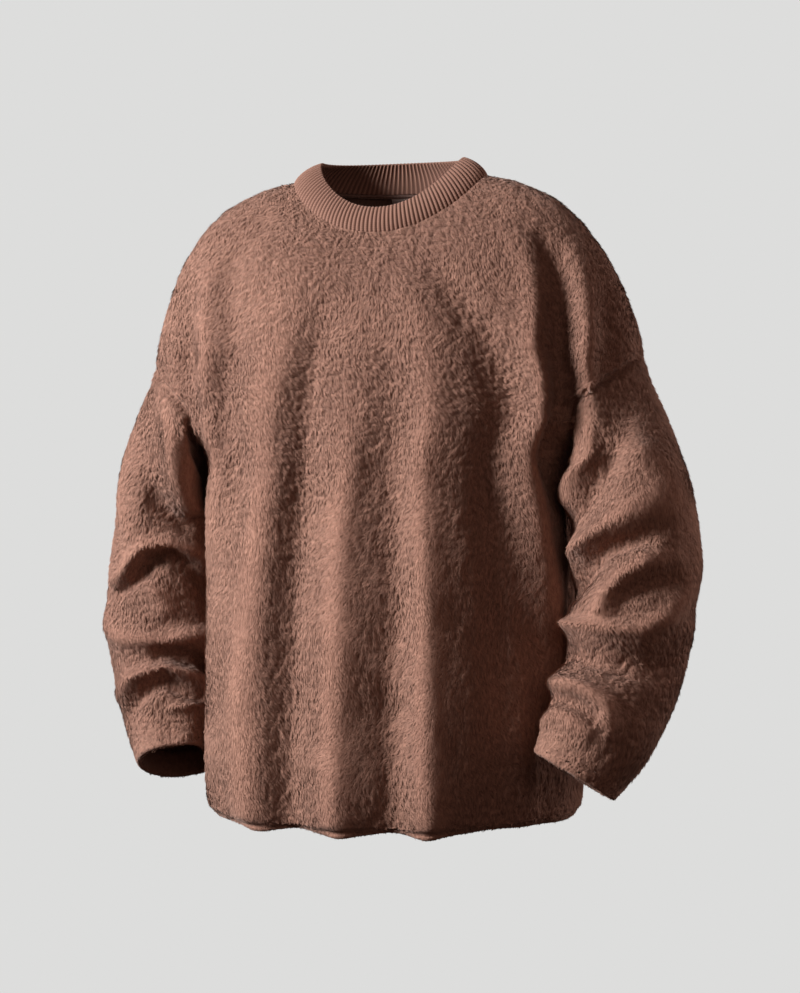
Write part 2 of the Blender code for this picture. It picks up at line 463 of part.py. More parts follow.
def edge_step(outer, inner, inside, closed):
    """Steps that move an edge of a wall half a seam gap back from its seam, square to the end face."""
    next_outer, next_inner = np.roll(outer, -1, 0), np.roll(inner, -1, 0)
    faces = np.cross(next_inner - outer, next_outer - inner)
    faces /= np.linalg.norm(faces, axis=1, keepdims=True)
    middle = (outer + inner + next_outer + next_inner) / 4
    behind = (inside + np.roll(inside, -1, 0)) / 2
    faces *= np.sign(((behind - middle) * faces).sum(axis=1, keepdims=True))
    if not closed:
        faces[-1] = faces[-2]
    before = np.roll(faces, 1, 0)
    if not closed:
        before[0] = faces[0]
    lean = np.maximum(1 + (faces * before).sum(axis=1, keepdims=True), 0.35)
    return (faces + before) / lean * SEAM_GAP / 2


def part_at_seams(net, outer, inner):
    """Move a piece's sewn edges back from the seams, so that its neighbours don't touch it."""
    outer, inner = outer.copy(), inner.copy()
    middle = (outer + inner) / 2
    if net.closed:
        step = edge_step(outer[0], inner[0], middle[1], True)
        outer[0] += step
        inner[0] += step
        return outer, inner
    sides = [(column, edge_step(outer[:, column], inner[:, column], middle[:, beside], False))
             for column, beside in ((0, 1), (-1, -2))]
    for column, step in sides:
        outer[:, column] += step
        inner[:, column] += step
    return outer, inner


def wall_faces(net, outer, inner):
    """Faces of a closed wall between an outer net and the inner net numbered after it."""
    rows, columns = outer.shape[:2]
    count = rows * columns
    places = np.vstack([outer.reshape(-1, 3), inner.reshape(-1, 3)])
    skin = net_faces(net)
    faces = [tuple(quad) for quad in np.vstack([skin, skin[:, ::-1] + count])]
    first, last = list(range(columns)), list(range(count - columns, count))
    if net.closed:
        rims = [first + first[:1], last[::-1] + last[-1:]]
    else:
        left = [i * columns for i in range(rows)]
        right = [i * columns + columns - 1 for i in range(rows)]
        rims = [first + right[1:] + last[-2::-1] + left[-2::-1]]
    for rim in rims:
        for a, b in zip(rim[:-1], rim[1:]):
            down = np.linalg.norm(places[a] - places[b + count])
            up = np.linalg.norm(places[b] - places[a + count])
            halves = (((b, a, b + count), (a, a + count, b + count)) if down < up
                      else ((b, a, a + count), (b, a + count, b + count)))
            faces += [half if net.turn > 0 else half[::-1] for half in halves]
    return faces


def garment_walls():
    """Each cloth piece as (net, outer points, inner points), parted at the seams."""
    nets = garment_nets()
    nets = sink_seams(nets, shared_normals(nets))
    walls = []
    for net, normal in zip(nets, shared_normals(nets, easing=3)):
        inner = net.points - normal * wall_depths(net)[:, :, None]
        walls.append((net,) + part_at_seams(net, net.points, inner))
    return dict(zip(("front", "back", "sleeve_left", "sleeve_right"), walls))


def neck_loop(walls):
    """Outer and inner points of the neck seam, and the rim's points above them, once round."""
    outer = np.vstack([walls["front"][1][-1], walls["back"][1][-1]])
    inner = np.vstack([walls["front"][2][-1], walls["back"][2][-1]])
    rim = []
    for back, columns in ((False, COLUMNS_FRONT), (True, COLUMNS_BACK)):
        half = half_ring(RIM, back, np.linspace(0, 1, columns // 2 + 1))
        rim.append(half[::-1] if back else half)
    return outer, inner, np.vstack(rim)


def around_loop(loop, places):
    """Points of a closed polyline at places counted in its own points."""
    first = np.floor(places).astype(int) % len(loop)
    t = (places - np.floor(places))[:, None]
    return loop[first] * (1 - t) + loop[(first + 1) % len(loop)] * t


def neck_rib(walls):
    """The neckband: a ring whose outside carries a rib for every second column."""
    outer, inner, rim = neck_loop(walls)
    closed = np.vstack([rim, rim[:1]])
    lengths = np.r_[0, np.cumsum(np.linalg.norm(np.diff(closed, axis=0), axis=1))]
    places = np.interp(np.arange(2 * RIBS) / (2 * RIBS) * lengths[-1], lengths, np.arange(len(closed)))
    outer, inner, rim = (around_loop(loop, places) for loop in (outer, inner, rim))
    tangent = np.roll(rim, -1, 0) - np.roll(rim, 1, 0)
    seam = (outer * 0.75 + inner * 0.25)
    rise = rim - (seam + inner) / 2
    out = np.cross(tangent, rise)
    out /= np.linalg.norm(out, axis=1, keepdims=True)
    base_out = (outer - inner) / np.linalg.norm(outer - inner, axis=1, keepdims=True)
    face = np.cross(np.roll(seam, -1, 0) - np.roll(seam, 1, 0), base_out)
    face /= np.linalg.norm(face, axis=1, keepdims=True)
    face *= np.sign((face * rise).sum(axis=1, keepdims=True))
    rib = RIB_HEIGHT * (np.arange(2 * RIBS) % 2)[:, None]
    lift = face * SEAM_GAP
    middle = (seam + inner + 2 * rim) / 4 + out * RIB_BULGE
    sections = [
        seam + lift + base_out * (rib - RIB_HEIGHT / 2),
        middle + out * (RIB_WALL / 2 + rib),
        rim + out * (RIB_WALL / 2 - RIM_ROUNDING + 0.6 * rib),
        rim - out * (RIB_WALL / 2 - RIM_ROUNDING),
        middle - out * RIB_WALL / 2,
        inner + lift + base_out * 0.0004,
    ]
    points = np.stack(sections, axis=1)
    columns, count = points.shape[:2]
    faces = []
    for column in range(columns):
        after = (column + 1) % columns
        for k in range(count):
            up = (k + 1) % count
            faces.append((column * count + k, after * count + k, after * count + up, column * count + up))
    return points.reshape(-1, 3), np.array(faces)


def strip(outer, inner):
    """Points and faces of a thin open strip between two small nets."""
    net = Net(outer, None, None, False, 1)
    return np.vstack([outer.reshape(-1, 3), inner.reshape(-1, 3)]), wall_faces(net, outer, inner)


def lining_at(lining, normals, drop):
    """A row of the back's inside and its inward directions, that far below the neck seam."""
    steps = np.linalg.norm(np.diff(lining[::-1], axis=0), axis=2)
    depths = np.vstack([np.zeros(lining.shape[1]), np.cumsum(steps, axis=0)])
    row, inward = np.empty((lining.shape[1], 3)), np.empty((lining.shape[1], 3))
    for j in range(lining.shape[1]):
        for axis in range(3):
            row[j, axis] = np.interp(drop, depths[:, j], lining[::-1, j, axis])
            inward[j, axis] = np.interp(drop, depths[:, j], normals[::-1, j, axis])
    return row, inward / np.linalg.norm(inward, axis=1, keepdims=True)


def neck_tape(walls):
    """A tape over the neck seam, inside the back."""
    net, outer, inner = walls["back"]
    inward = (inner - outer) / np.linalg.norm(inner - outer, axis=2, keepdims=True)
    near, far = [], []
    for drop in (TAPE_DROP + TAPE_HEIGHT, TAPE_DROP + TAPE_HEIGHT / 2, TAPE_DROP):
        row, direction = lining_at(inner, inward, drop)
        near.append(row[1:-1] + direction[1:-1] * LINING_GAP)
        far.append(row[1:-1] + direction[1:-1] * (LINING_GAP + TAPE_THICKNESS))
    return strip(np.array(near), np.array(far))


def neck_label(walls):
    """A blank label hanging from the tape."""
    net, outer, inner = walls["back"]
    inward = (inner - outer) / np.linalg.norm(inner - outer, axis=2, keepdims=True)
    across = np.linspace(LABEL_WIDTH / 2, -LABEL_WIDTH / 2, 7)
    top = TAPE_DROP + TAPE_HEIGHT + LINING_GAP
    near, far = [], []
    for drop in np.linspace(top + LABEL_HEIGHT, top, 5):
        row, direction = lining_at(inner, inward, drop)
        order = np.argsort(row[:, 0])
        place = [np.interp(across, row[order, 0], row[order, axis]) for axis in range(3)]
        facing = [np.interp(across, row[order, 0], direction[order, axis]) for axis in range(3)]
        place, facing = np.stack(place, axis=1), np.stack(facing, axis=1)
        near.append(place + facing * LINING_GAP)
        far.append(place + facing * (LINING_GAP + LABEL_THICKNESS))
    return strip(np.array(near), np.array(far))


# Blender objects
def material(name, colour, roughness):
    """A plain surface of one colour."""
    look = bpy.data.materials.new(name)
    look.use_nodes = True
    shader = look.node_tree.nodes["Principled BSDF"]
    shader.inputs["Base Color"].default_value = (*colour, 1)
    shader.inputs["Roughness"].default_value = roughness
    return look


def add_object(name, points, faces, colour, roughness=0.95):
    """One named solid with its own material."""
    mesh = bpy.data.meshes.new(name)
    mesh.from_pydata([tuple(map(float, p)) for p in points], [], [tuple(map(int, f)) for f in faces])
    mesh.update()
    mesh.materials.append(material(name + "_cloth", COLOURS[colour], roughness))
    bpy.context.scene.collection.objects.link(bpy.data.objects.new(name, mesh))


def build():
    for old in list(bpy.data.objects):
        bpy.data.objects.remove(old, do_unlink=True)
    walls = garment_walls()
    for name, (net, outer, inner) in walls.items():
        points = np.vstack([outer.reshape(-1, 3), inner.reshape(-1, 3)])
        add_object(name, points, wall_faces(net, outer, inner), "fleece")
    add_object("neck_rib", *neck_rib(walls), "rib", 0.9)
    add_object("neck_tape", *neck_tape(walls), "tape", 0.85)
    add_object("neck_label", *neck_label(walls), "label", 0.6)


build()
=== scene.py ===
"""A plush fleece pullover as it hangs when worn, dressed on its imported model.

The cloth's outside is one fine net of points over the front, back and sleeves, with the model's own outline
and folds. The pile is short flat tufts that lie along the cloth, rooted in it.
"""

import math
from collections import namedtuple

import bpy
import numpy as np
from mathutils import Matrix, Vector


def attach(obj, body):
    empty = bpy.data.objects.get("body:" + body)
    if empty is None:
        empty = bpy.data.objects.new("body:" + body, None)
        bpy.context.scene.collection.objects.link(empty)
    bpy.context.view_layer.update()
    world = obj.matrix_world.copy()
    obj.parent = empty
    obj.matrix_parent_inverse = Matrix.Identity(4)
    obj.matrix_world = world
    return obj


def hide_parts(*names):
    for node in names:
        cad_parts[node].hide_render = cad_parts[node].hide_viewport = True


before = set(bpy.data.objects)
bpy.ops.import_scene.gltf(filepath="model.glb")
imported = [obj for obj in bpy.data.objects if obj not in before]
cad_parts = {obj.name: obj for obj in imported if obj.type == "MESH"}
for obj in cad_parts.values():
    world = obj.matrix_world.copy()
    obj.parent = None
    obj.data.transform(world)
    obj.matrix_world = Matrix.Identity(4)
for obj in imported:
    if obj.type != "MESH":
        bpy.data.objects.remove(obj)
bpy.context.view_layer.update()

# Sizes in metres, as in the model. +X is the wearer's left, -Y the front, +Z up.
PILE_WALL = 0.0055        # knitted base and pile together
HEM_WALL = 0.0085         # two layers where the hem and cuffs are turned up
HEM_TURN_UP = 0.030
HEM_LIP = 0.0005          # the turned-up cloth's raw edge stands this far off the wall
HEM_BEND = 8              # steps round the turned edge
GIRTH_QUARTER = 0.29      # a quarter of the body's girth
SLEEVE_LENGTH = 0.42      # armhole to cuff
SLEEVE_QUARTER = 0.103    # a quarter of a sleeve's girth
FOLD_LEAST = 0.006        # the narrowest fold
FOLD_MOST = 0.026         # the deepest one

FINE = 8         # fine points to each of the model's own
ROWS_BELOW = 12 * FINE
ROWS_ARMHOLE = 12 * FINE
ROWS_SHOULDER = 9 * FINE
ARMHOLE_ROWS = slice(ROWS_BELOW, ROWS_BELOW + ROWS_ARMHOLE + 1)
COLUMNS_FRONT = 32 * FINE
COLUMNS_BACK = 28 * FINE
SLEEVE_ROWS = 25 * FINE
RING_STEPS = 96
GIRTH_STEPS = 128

PILE_DEPTH = 0.0022       # roots lie this far below the pile's surface
CLUMP_RISE = 0.0011
RIDGE_RISE = 0.010        # on a ridge this high the pile lies flat, in a trough this deep it stands in clumps
TUFTS_PER_PIECE = {"front": 145000, "back": 130000, "sleeve_left": 95000, "sleeve_right": 95000}
TUFT_LENGTH = 0.0056
TUFT_WIDTH = 0.0014
TUFT_LIFT = 0.30          # radians off the cloth,
RIM_LIFT = 0.12           # less at a clump's rim, and different by
LIFT_SPREAD = 0.12
LEAN_SPREAD = 0.20        # how far each leans to a side on its own
TUFT_SPLIT = 0.30         # how far a tuft's two edges face apart
RIM_DRAW = 0.55           # share of the way to the clump's middle that a tip at its rim is drawn
RIDGE_CALM = 0.45         # how much less clumps and lift there is on a ridge
FOOT_SHADE = 0.55         # painted shade of a tuft's root, beside 1 at its tip,
RIDGE_SHADE = 0.27        # and how much less painted shade there is on a ridge
SKIN_SHADE = 0.72         # painted shade of the skin below the tufts,
RIM_SHADE = 0.35          # and how much more painted shade at a clump's rim
PILE_TURN = 0.25          # how far the pile turns outwards on its way down
EDGE_TRIM = 0.35          # a tuft's share of its length at the hem and cuffs
TUFT_SEED = 100
# Noises, each with its height, its length in metres and its seed: the pile's swing, neighbouring tufts' lean,
# the clumps' height, and how far clumps are moved along x, y and z.
SWING = ((1.1, 0.075, 1), (0.7, 0.030, 2), (0.35, 0.012, 3))
TUFT_LEAN = ((0.22, 0.0045, 5),)
CLUMP_WAVES = ((0.5, (0.0110, 0.0110, 0.0260), 14), (0.4, (0.0042, 0.0042, 0.0080), 15))
SWAYS = ((0.012, 0.028, 11), (0.012, 0.028, 12), (0.006, 0.024, 13))
CLUMP_SIZE = np.array((0.0042, 0.0042, 0.0100))
CLUMP_SEED = 40
PILE_EDGE = 8             # rows of the turned edge that the pile covers
SEAM_DEPTH = 0.0032       # the groove along the armhole seams, and its width
SEAM_SWELL = 0.0016       # the pile's rise beside it,
SWELL_PLACE, SWELL_WIDTH = 0.009, 0.005     # how far from the seam, and how wide

# The tables of rings, sleeves and folds are in millimetres.
# Rings of the body, from the hem up to the neck seam. The last two columns are exponents, not lengths.
RING_COLUMNS = ("lean_x", "side_x", "side_y", "side_z", "front_y", "front_z", "back_y", "back_z",
                "square", "sweep")
RING_LENGTHS = 8
RINGS = (
    (0, 195, 0, -676, -147, -683, 147, -680, 2.3, 2),  # hem edge
    (0, 202, 0, -655, -156, -662, 155, -659, 2.4, 2),  # hem at its full width
    (0, 203, 0, -565, -157, -570, 157, -569, 2.5, 2),  # hip
    (0, 201, 0, -460, -152, -466, 155, -464, 2.6, 2),  # waist
    (0, 201, 0, -365, -144, -375, 152, -370, 2.7, 2),  # chest
    (1, 204, -4, -292, -137, -312, 148, -300, 2.75, 2),  # underarm
    (3, 256, -12, -240, -131, -267, 144, -246, 2.3, 2),  # middle of the armhole
    (5, 267, -18, -188, -124, -225, 139, -194, 2.2, 2),  # outer end of the shoulder seam
    (5, 253, -24, -133, -117, -186, 130, -143, 2.15, 2),
    (3, 227, -27, -78, -108, -151, 117, -97, 2.1, 1.9),
    (1, 190, -25, -35, -98, -119, 100, -57, 2.1, 1.8),
    (0, 147, -20, -11, -85, -90, 81, -26, 2.1, 1.7),
    (0, 107, -16, 0, -70, -63, 61, -6, 2.1, 1.6),  # neck seam
)
UNDERARM_RING = 5
TIP_RING = 7
NECK_RING = len(RINGS) - 1
ARMHOLE_CUT = 0.32        # how far the armhole cuts into a quarter of the body
ARMHOLE_SAG = 1.15        # above 1 its deepest place lies lower
ARMHOLE_ROUND = 0.36      # how much rounder it is near the underarm
ROW_FAN = 0.7             # how far the net's rows fan out from the armhole, in rings

# Centre lines of the sleeves: x, y, z, then half widths across the arm and fore and aft.
SLEEVE_LEFT = (
    (237, -14, -240, 55, 68),
    (256, -28, -292, 60, 72),
    (268, -45, -344, 63.5, 67),
    (273.5, -52, -400, 64.5, 67),
    (274, -58, -446, 63.5, 67),
    (270, -67, -487, 63, 66),
    (261, -80, -530, 62, 64),
    (246, -100, -577, 57, 61),
    (223.5, -111, -618, 49, 56),
)
SLEEVE_RIGHT = (
    (-237, -14, -240, 55, 68),
    (-253, -8, -292, 53, 72),
    (-268, 4, -344, 50, 69),
    (-270.5, 13, -392, 58.5, 67),
    (-272.5, 21, -440, 65, 66),
    (-273, 20, -487, 65, 66),
    (-269, 15, -535, 59, 65),
    (-259, 5, -586, 52.5, 62),
    (-248, -12, -628, 43, 57),
)
SLEEVE_TWIST = {"left": 0.0, "right": 0.25}     # how far each is turned about its length, towards the body
SLEEVE_SQUARE = {"left": 2.4, "right": 3.4}     # how square each is on the side next to the body
SLEEVE_AHEAD = 0.05       # a sleeve's direction is taken this far to both sides, in rows of its table
SLEEVE_BLEND = 0.24       # share of the length over which the armhole's outline turns into the sleeve's
SETTLED_LENGTH = 0.090    # the sleeve is drawn smooth as far down as this
SETTLED_ROUNDS = 80
SLEEVE_PUFF = 0.010       # how far the sleeve stands off the body just below the underarm seam
PUFF_END = 0.025          # share of the length over which it reaches that
FOLDS_START = 0.06        # share of the sleeve over which its folds begin
CUFF_START = 0.9          # from here to the cuff its folds grow shallower,
CUFF_CALM = 0.7           # by this share
FOLD_LEVEL = (1, 1, 0.25)   # the body's folds push out mostly level

# Drape folds of the body, each a line of (girth, height, rise, width).
# Girth counts quarters: 0 front centre, 1 wearer's left side, 2 back centre, -1 wearer's right side.
BODY_FOLDS = {
    "shoulder crest, right": ((-0.74, -100, 4, 18), (-0.60, -190, 8, 18), (-0.62, -380, 5, 22)),
    "shoulder valley, right": ((-0.66, -90, -4, 18), (-0.49, -190, -7, 18), (-0.50, -360, -3, 20)),
    "armpit valley, right": ((-0.80, -120, -4, 14), (-0.70, -190, -12, 14), (-0.63, -250, -11, 16),
        (-0.72, -300, -3, 18)),
    "front crest 1": ((-0.33, -180, 1, 30), (-0.35, -340, 9, 24), (-0.38, -470, 11, 24),
        (-0.42, -560, 11, 26), (-0.39, -700, 11, 24)),
    "front valley 1": ((-0.17, -150, -3, 20), (-0.20, -220, -8, 18), (-0.20, -300, -10, 18),
        (-0.22, -420, -12, 18), (-0.24, -700, -13, 20)),
    "front crest 2": ((-0.02, -200, 1, 24), (-0.035, -370, 10, 20), (-0.035, -500, 11, 20),
        (-0.045, -700, 12, 20)),
    "front valley 2": ((0.10, -180, -1, 24), (0.14, -340, -8, 22), (0.155, -450, -11, 20),
        (0.145, -700, -13, 20)),
    "front crest 3": ((0.20, -140, 3, 26), (0.235, -270, 8, 21), (0.27, -420, 11, 20),
        (0.29, -700, 13, 20)),
    "front valley 3": ((0.31, -110, -3, 22), (0.41, -170, -10, 22), (0.47, -250, -17, 21),
        (0.50, -340, -18, 22), (0.53, -460, -16, 25), (0.55, -700, -11, 30)),
    "front crest 3b": ((0.50, -440, 1, 12), (0.53, -600, 1, 14)),
    "front valley 4": ((0.52, -320, -4, 16), (0.60, -400, -10, 16), (0.67, -480, -11, 20),
        (0.72, -560, -9, 26), (0.76, -700, -6, 30)),
    "armpit crest, left": ((0.70, -80, 3, 16), (0.57, -190, 9, 14), (0.615, -260, 11, 14),
        (0.69, -375, 12, 17), (0.78, -450, 8, 22), (0.90, -600, 3, 26)),
    "armpit valley, left": ((0.78, -80, -6, 14), (0.655, -190, -27, 11.5), (0.67, -250, -28, 12),
        (0.76, -310, -12, 18), (0.95, -360, -4, 26)),
    "shoulder crest, left": ((0.87, -90, 3, 16), (0.82, -120, 6, 15), (0.735, -200, 10, 14),
        (0.755, -250, 8, 13)),
    "shoulder dip, left": ((0.92, -100, -2, 16), (0.84, -170, -6, 15), (0.79, -210, -4, 14)),
    "arm hollow, left": ((1.10, -340, -10, 40), (1.12, -410, -11, 50), (1.14, -480, -12, 50),
        (1.10, -560, -6, 50)),
    "arm hollow, right": ((-1.20, -300, -18, 34), (-1.26, -350, -30, 42), (-1.16, -410, -20, 50),
        (-1.08, -540, -12, 60)),
    "chest swell": ((-0.40, -100, 4, 50), (-0.30, -200, 5, 50)),
    "back crest 1": ((1.30, -240, 1, 26), (1.33, -700, 9, 28)),
    "back valley 1": ((1.40, -100, -3, 24), (1.50, -300, -9, 22), (1.52, -700, -10, 24)),
    "back crest 2": ((1.58, -120, 2, 28), (1.70, -420, 7, 26), (1.72, -700, 10, 28)),
    "back valley 2": ((1.86, -220, -1, 24), (1.88, -700, -10, 24)),
    "back crest 3": ((2.06, -180, 1, 28), (2.04, -700, 9, 26)),
    "back valley 3": ((2.24, -160, -2, 24), (2.22, -700, -10, 24)),
    "back crest 4": ((2.40, -110, 3, 26), (2.37, -450, 8, 26), (2.40, -700, 10, 28)),
    "back valley 4": ((2.62, -90, -4, 24), (2.54, -300, -9, 22), (2.57, -700, -9, 24)),
    "back crest 5": ((2.72, -240, 2, 28), (2.74, -700, 9, 28)),
}

# Folds of the sleeves, each a line of (girth, length from the armhole, rise, width).
# Girth counts quarters: 0 outer side, 1 front, 2 inner side, 3 back.
SLEEVE_LEFT_FOLDS = {
    "underarm swell": ((1.28, 8, 12, 18), (1.50, 22, 17, 22), (1.70, 42, 20, 27), (1.85, 80, 14, 27)),
    "inner swell": ((2.15, 110, 4, 30), (2.05, 205, 9, 28), (2.20, 260, 5, 30)),
    "upper crest": ((0.72, 4, 4, 14), (1.00, 34, 9, 14), (1.35, 72, 10, 14), (1.65, 100, 8, 15)),
    "upper valley": ((0.45, 22, -6, 13), (0.75, 56, -12, 14), (1.08, 88, -14, 14), (1.45, 116, -12, 14),
        (1.75, 126, -6, 14)),
    "lap over the elbow": ((1.75, 152, 6, 12), (1.50, 147, 9, 11), (1.22, 136, 11, 11),
        (0.90, 124, 10, 13), (0.55, 116, 7, 16), (0.20, 108, 2, 18)),
    "elbow notch": ((1.95, 205, -10, 18), (1.72, 198, -26, 18), (1.50, 178, -30, 16),
        (1.22, 157, -20, 11), (0.92, 149, -11, 8), (0.62, 140, -3, 10)),
    "elbow crest": ((1.22, 238, 10, 12), (1.16, 215, 13, 12), (1.00, 186, 13, 12), (0.78, 171, 10, 12),
        (0.50, 163, 4, 14)),
    "elbow dimple": ((0.98, 212, -8, 11), (0.72, 196, -8, 12), (0.55, 190, -4, 14)),
    "forearm crest": ((1.75, 258, 13, 13), (1.58, 262, 16, 13), (1.17, 264, 10, 12), (0.81, 260, 11, 13),
        (0.53, 234, 11, 15), (0.34, 203, 8, 16), (0.05, 180, 3, 20)),
    "forearm valley": ((1.80, 300, -12, 14), (1.33, 307, -15, 16), (0.89, 304, -15, 18),
        (0.53, 296, -11, 18), (0.20, 268, -5, 18)),
    "cuff lap": ((1.80, 338, 10, 12), (1.60, 343, 11, 11), (1.28, 345, 12, 10), (0.95, 352, 10, 10),
        (0.82, 366, 6, 10)),
    "cuff crease": ((1.60, 360, -4, 6), (1.27, 359, -7, 6), (1.02, 364, -5, 6)),
    "cuff swell": ((1.75, 390, 6, 14), (1.45, 374, 7, 12), (1.05, 376, 7, 12)),
    "outer swell": ((0.62, 80, 6, 18), (0.30, 120, 4, 30), (0.05, 160, 4, 30)),
    "back crest 1": ((2.40, 150, 6, 18), (3.00, 130, 8, 20), (3.60, 150, 5, 20)),
    "back valley 1": ((2.40, 190, -8, 16), (3.00, 180, -10, 18), (3.60, 190, -6, 18)),
    "back crest 2": ((2.40, 240, 7, 18), (3.00, 230, 9, 18), (3.60, 235, 5, 20)),
    "back valley 2": ((2.40, 300, -7, 18), (3.00, 290, -9, 18), (3.50, 290, -4, 20)),
}
SLEEVE_RIGHT_FOLDS = {
    "underarm swell": ((1.30, 10, 10, 18), (1.50, 28, 20, 22), (1.66, 52, 14, 22), (1.72, 80, 4, 22)),
    "inner swell": ((2.10, 180, 3, 30), (2.10, 300, 3, 30)),
    "long crest": ((0.56, 8, 7, 12), (1.02, 30, 12, 12), (1.34, 60, 14, 13), (1.62, 96, 14, 14),
        (1.80, 135, 10, 16)),
    "long valley": ((0.40, 25, -7, 13), (0.74, 62, -12, 14), (1.08, 92, -12, 13), (1.40, 120, -8, 12)),
    "outer swell": ((0.15, 40, 4, 20), (0.42, 100, 5, 20), (0.66, 128, 5, 18)),
    "lap over the elbow": ((0.45, 198, 4, 12), (0.67, 167, 10, 11), (0.89, 143, 12, 10),
        (1.19, 142, 12, 10), (1.44, 156, 11, 11), (1.70, 186, 9, 14)),
    "elbow arch": ((0.52, 215, -6, 11), (0.74, 188, -13, 10), (0.93, 163, -18, 9), (1.17, 158, -18, 9),
        (1.38, 171, -14, 10), (1.70, 208, -10, 14)),
    "forearm dome": ((1.00, 205, 8, 16), (1.10, 235, 8, 16)),
    "forearm dip": ((1.50, 212, -6, 14), (1.66, 240, -7, 16)),
    "forearm crest": ((0.20, 255, 5, 16), (0.61, 274, 10, 14), (1.11, 281, 11, 13), (1.50, 270, 10, 13),
        (1.78, 262, 8, 14)),
    "forearm valley": ((1.06, 296, -10, 9), (1.24, 300, -16, 9), (1.52, 310, -19, 10),
        (1.72, 325, -18, 12), (2.00, 335, -10, 14)),
    "wrist crest": ((0.30, 338, 5, 12), (0.72, 322, 10, 9), (1.11, 317, 11, 8), (1.39, 328, 11, 9),
        (1.70, 350, 9, 11)),
    "wrist arch": ((0.30, 372, -4, 12), (0.50, 357, -10, 10), (0.84, 341, -13, 9), (1.08, 334, -12, 8),
        (1.34, 350, -9, 9), (1.60, 368, -6, 10)),
    "cuff lap": ((1.20, 372, 4, 10), (1.60, 366, 7, 11), (1.90, 372, 6, 13)),
    "back crest 1": ((2.40, 160, 6, 18), (3.00, 140, 8, 20), (3.60, 155, 4, 20)),
    "back valley 1": ((2.40, 205, -8, 16), (3.00, 190, -10, 18), (3.60, 200, -5, 18)),
    "back crest 2": ((2.40, 250, 7, 18), (3.00, 240, 9, 18), (3.60, 245, 5, 20)),
    "back valley 2": ((2.40, 310, -7, 18), (3.00, 300, -9, 18), (3.50, 300, -4, 20)),
}

# A net of points. Rows run up the body or down a sleeve. Its outward normal is turn times the cross product of
# the ways along a row and along a column.
Net = namedtuple("Net", "points girth height closed turn")


def metres(rows, start=0, end=None):
    """Rows of a table in millimetres with the columns from start to end in metres."""
    rows = np.array(rows, float)
    rows[:, start:end] /= 1000
    return rows


def unit(vectors):
    """Vectors of length 1 that point the same ways."""
    return vectors / np.maximum(np.linalg.norm(vectors, axis=-1, keepdims=True), 1e-12)


def run_along(points):
    """Each point's distance along a polyline."""
    return np.r_[0, np.cumsum(np.linalg.norm(np.diff(points, axis=0), axis=1))]


def read_at(at, run, field):
    """A field of three columns, read at places along a run."""
    return np.stack([np.interp(at, run, field[:, axis]) for axis in range(3)], axis=-1)


def smooth(t):
    """0 to 1 with level ends."""
    t = np.clip(t, 0.0, 1.0)
    return t * t * (3 - 2 * t)


def along(rows, v):
    """The table's row at v, between its rows on a smooth curve."""
    last = len(rows) - 1
    v = min(max(v, 0.0), float(last))
    k = min(int(v), last - 1)
    t = v - k
    before, start, end, after = (rows[min(max(i, 0), last)] for i in (k - 1, k, k + 1, k + 2))
    if k == 0:
        before = 2 * start - end
    if k == last - 1:
        after = 2 * end - start
    leave, arrive = (end - before) / 2, (after - start) / 2
    return ((2 * t**3 - 3 * t**2 + 1) * start + (t**3 - 2 * t**2 + t) * leave
            + (3 * t**2 - 2 * t**3) * end + (t**3 - t**2) * arrive)


def spaced(points, shares):
    """Points at those shares of a polyline's length."""
    run = run_along(points)
    return read_at(np.asarray(shares) * run[-1], run, points)


def half_ring(row, back, shares, samples=400):
    """Points of one ring's front or back half, from the wearer's right side to the left. Shares of the
    quarter from its centre to its side place them."""
    ring = dict(zip(RING_COLUMNS, row))
    angle = np.linspace(0, math.pi / 2, samples)
    half = "back" if back else "front"
    cosine = np.clip(np.cos(angle), 0, 1)
    across = np.sin(angle) ** (2 / ring["square"])
    depth = cosine ** (2 / ring["square"])
    sweep = cosine ** ring["sweep"]
    dense = np.stack([ring["side_x"] * across,
                      ring["side_y"] + (ring[half + "_y"] - ring["side_y"]) * depth,
                      ring["side_z"] + (ring[half + "_z"] - ring["side_z"]) * sweep], axis=1)
    quarter = spaced(dense, shares)
    return np.vstack([quarter[:0:-1] * (-1, 1, 1), quarter]) + (ring["lean_x"], 0, 0)


def armhole_share(v):
    """How far round towards the side the cloth reaches before the armhole seam."""
    down = np.clip((TIP_RING - v) / (TIP_RING - UNDERARM_RING), 0, 1)
    bow = np.clip(np.sin(math.pi * down**ARMHOLE_SAG), 0, 1)
    return 1.0 - ARMHOLE_CUT * bow ** (1 - ARMHOLE_ROUND * smooth(down))


def row_levels():
    """Ring positions of the net's rows at the seams, from the hem to the neck, and how far each row's middle
    lies above that. The rows fan out round the armholes."""
    step = np.arange(ROWS_BELOW) / ROWS_BELOW
    turn = np.arange(ROWS_ARMHOLE + 1) / ROWS_ARMHOLE
    climb = np.arange(1, ROWS_SHOULDER + 1) / ROWS_SHOULDER
    seam = np.concatenate([UNDERARM_RING * (1.2 * step - 0.2 * step**3),
                           UNDERARM_RING + (TIP_RING - UNDERARM_RING) * turn,
                           TIP_RING + (NECK_RING - TIP_RING) * (0.8 * climb + 0.2 * climb**2)])
    fan = np.concatenate([-(step**2), 2 * turn - 1, (1 - climb) ** 1.5]) * ROW_FAN
    return seam, fan


def body_surface(back):
    """Dense points of the body's plain surface, by ring position and girth."""
    rings = metres(RINGS, end=RING_LENGTHS)
    return np.array([half_ring(along(rings, v), back, np.linspace(0, 1, GIRTH_STEPS + 1))
                     for v in np.arange(NECK_RING * RING_STEPS + 1) / RING_STEPS])


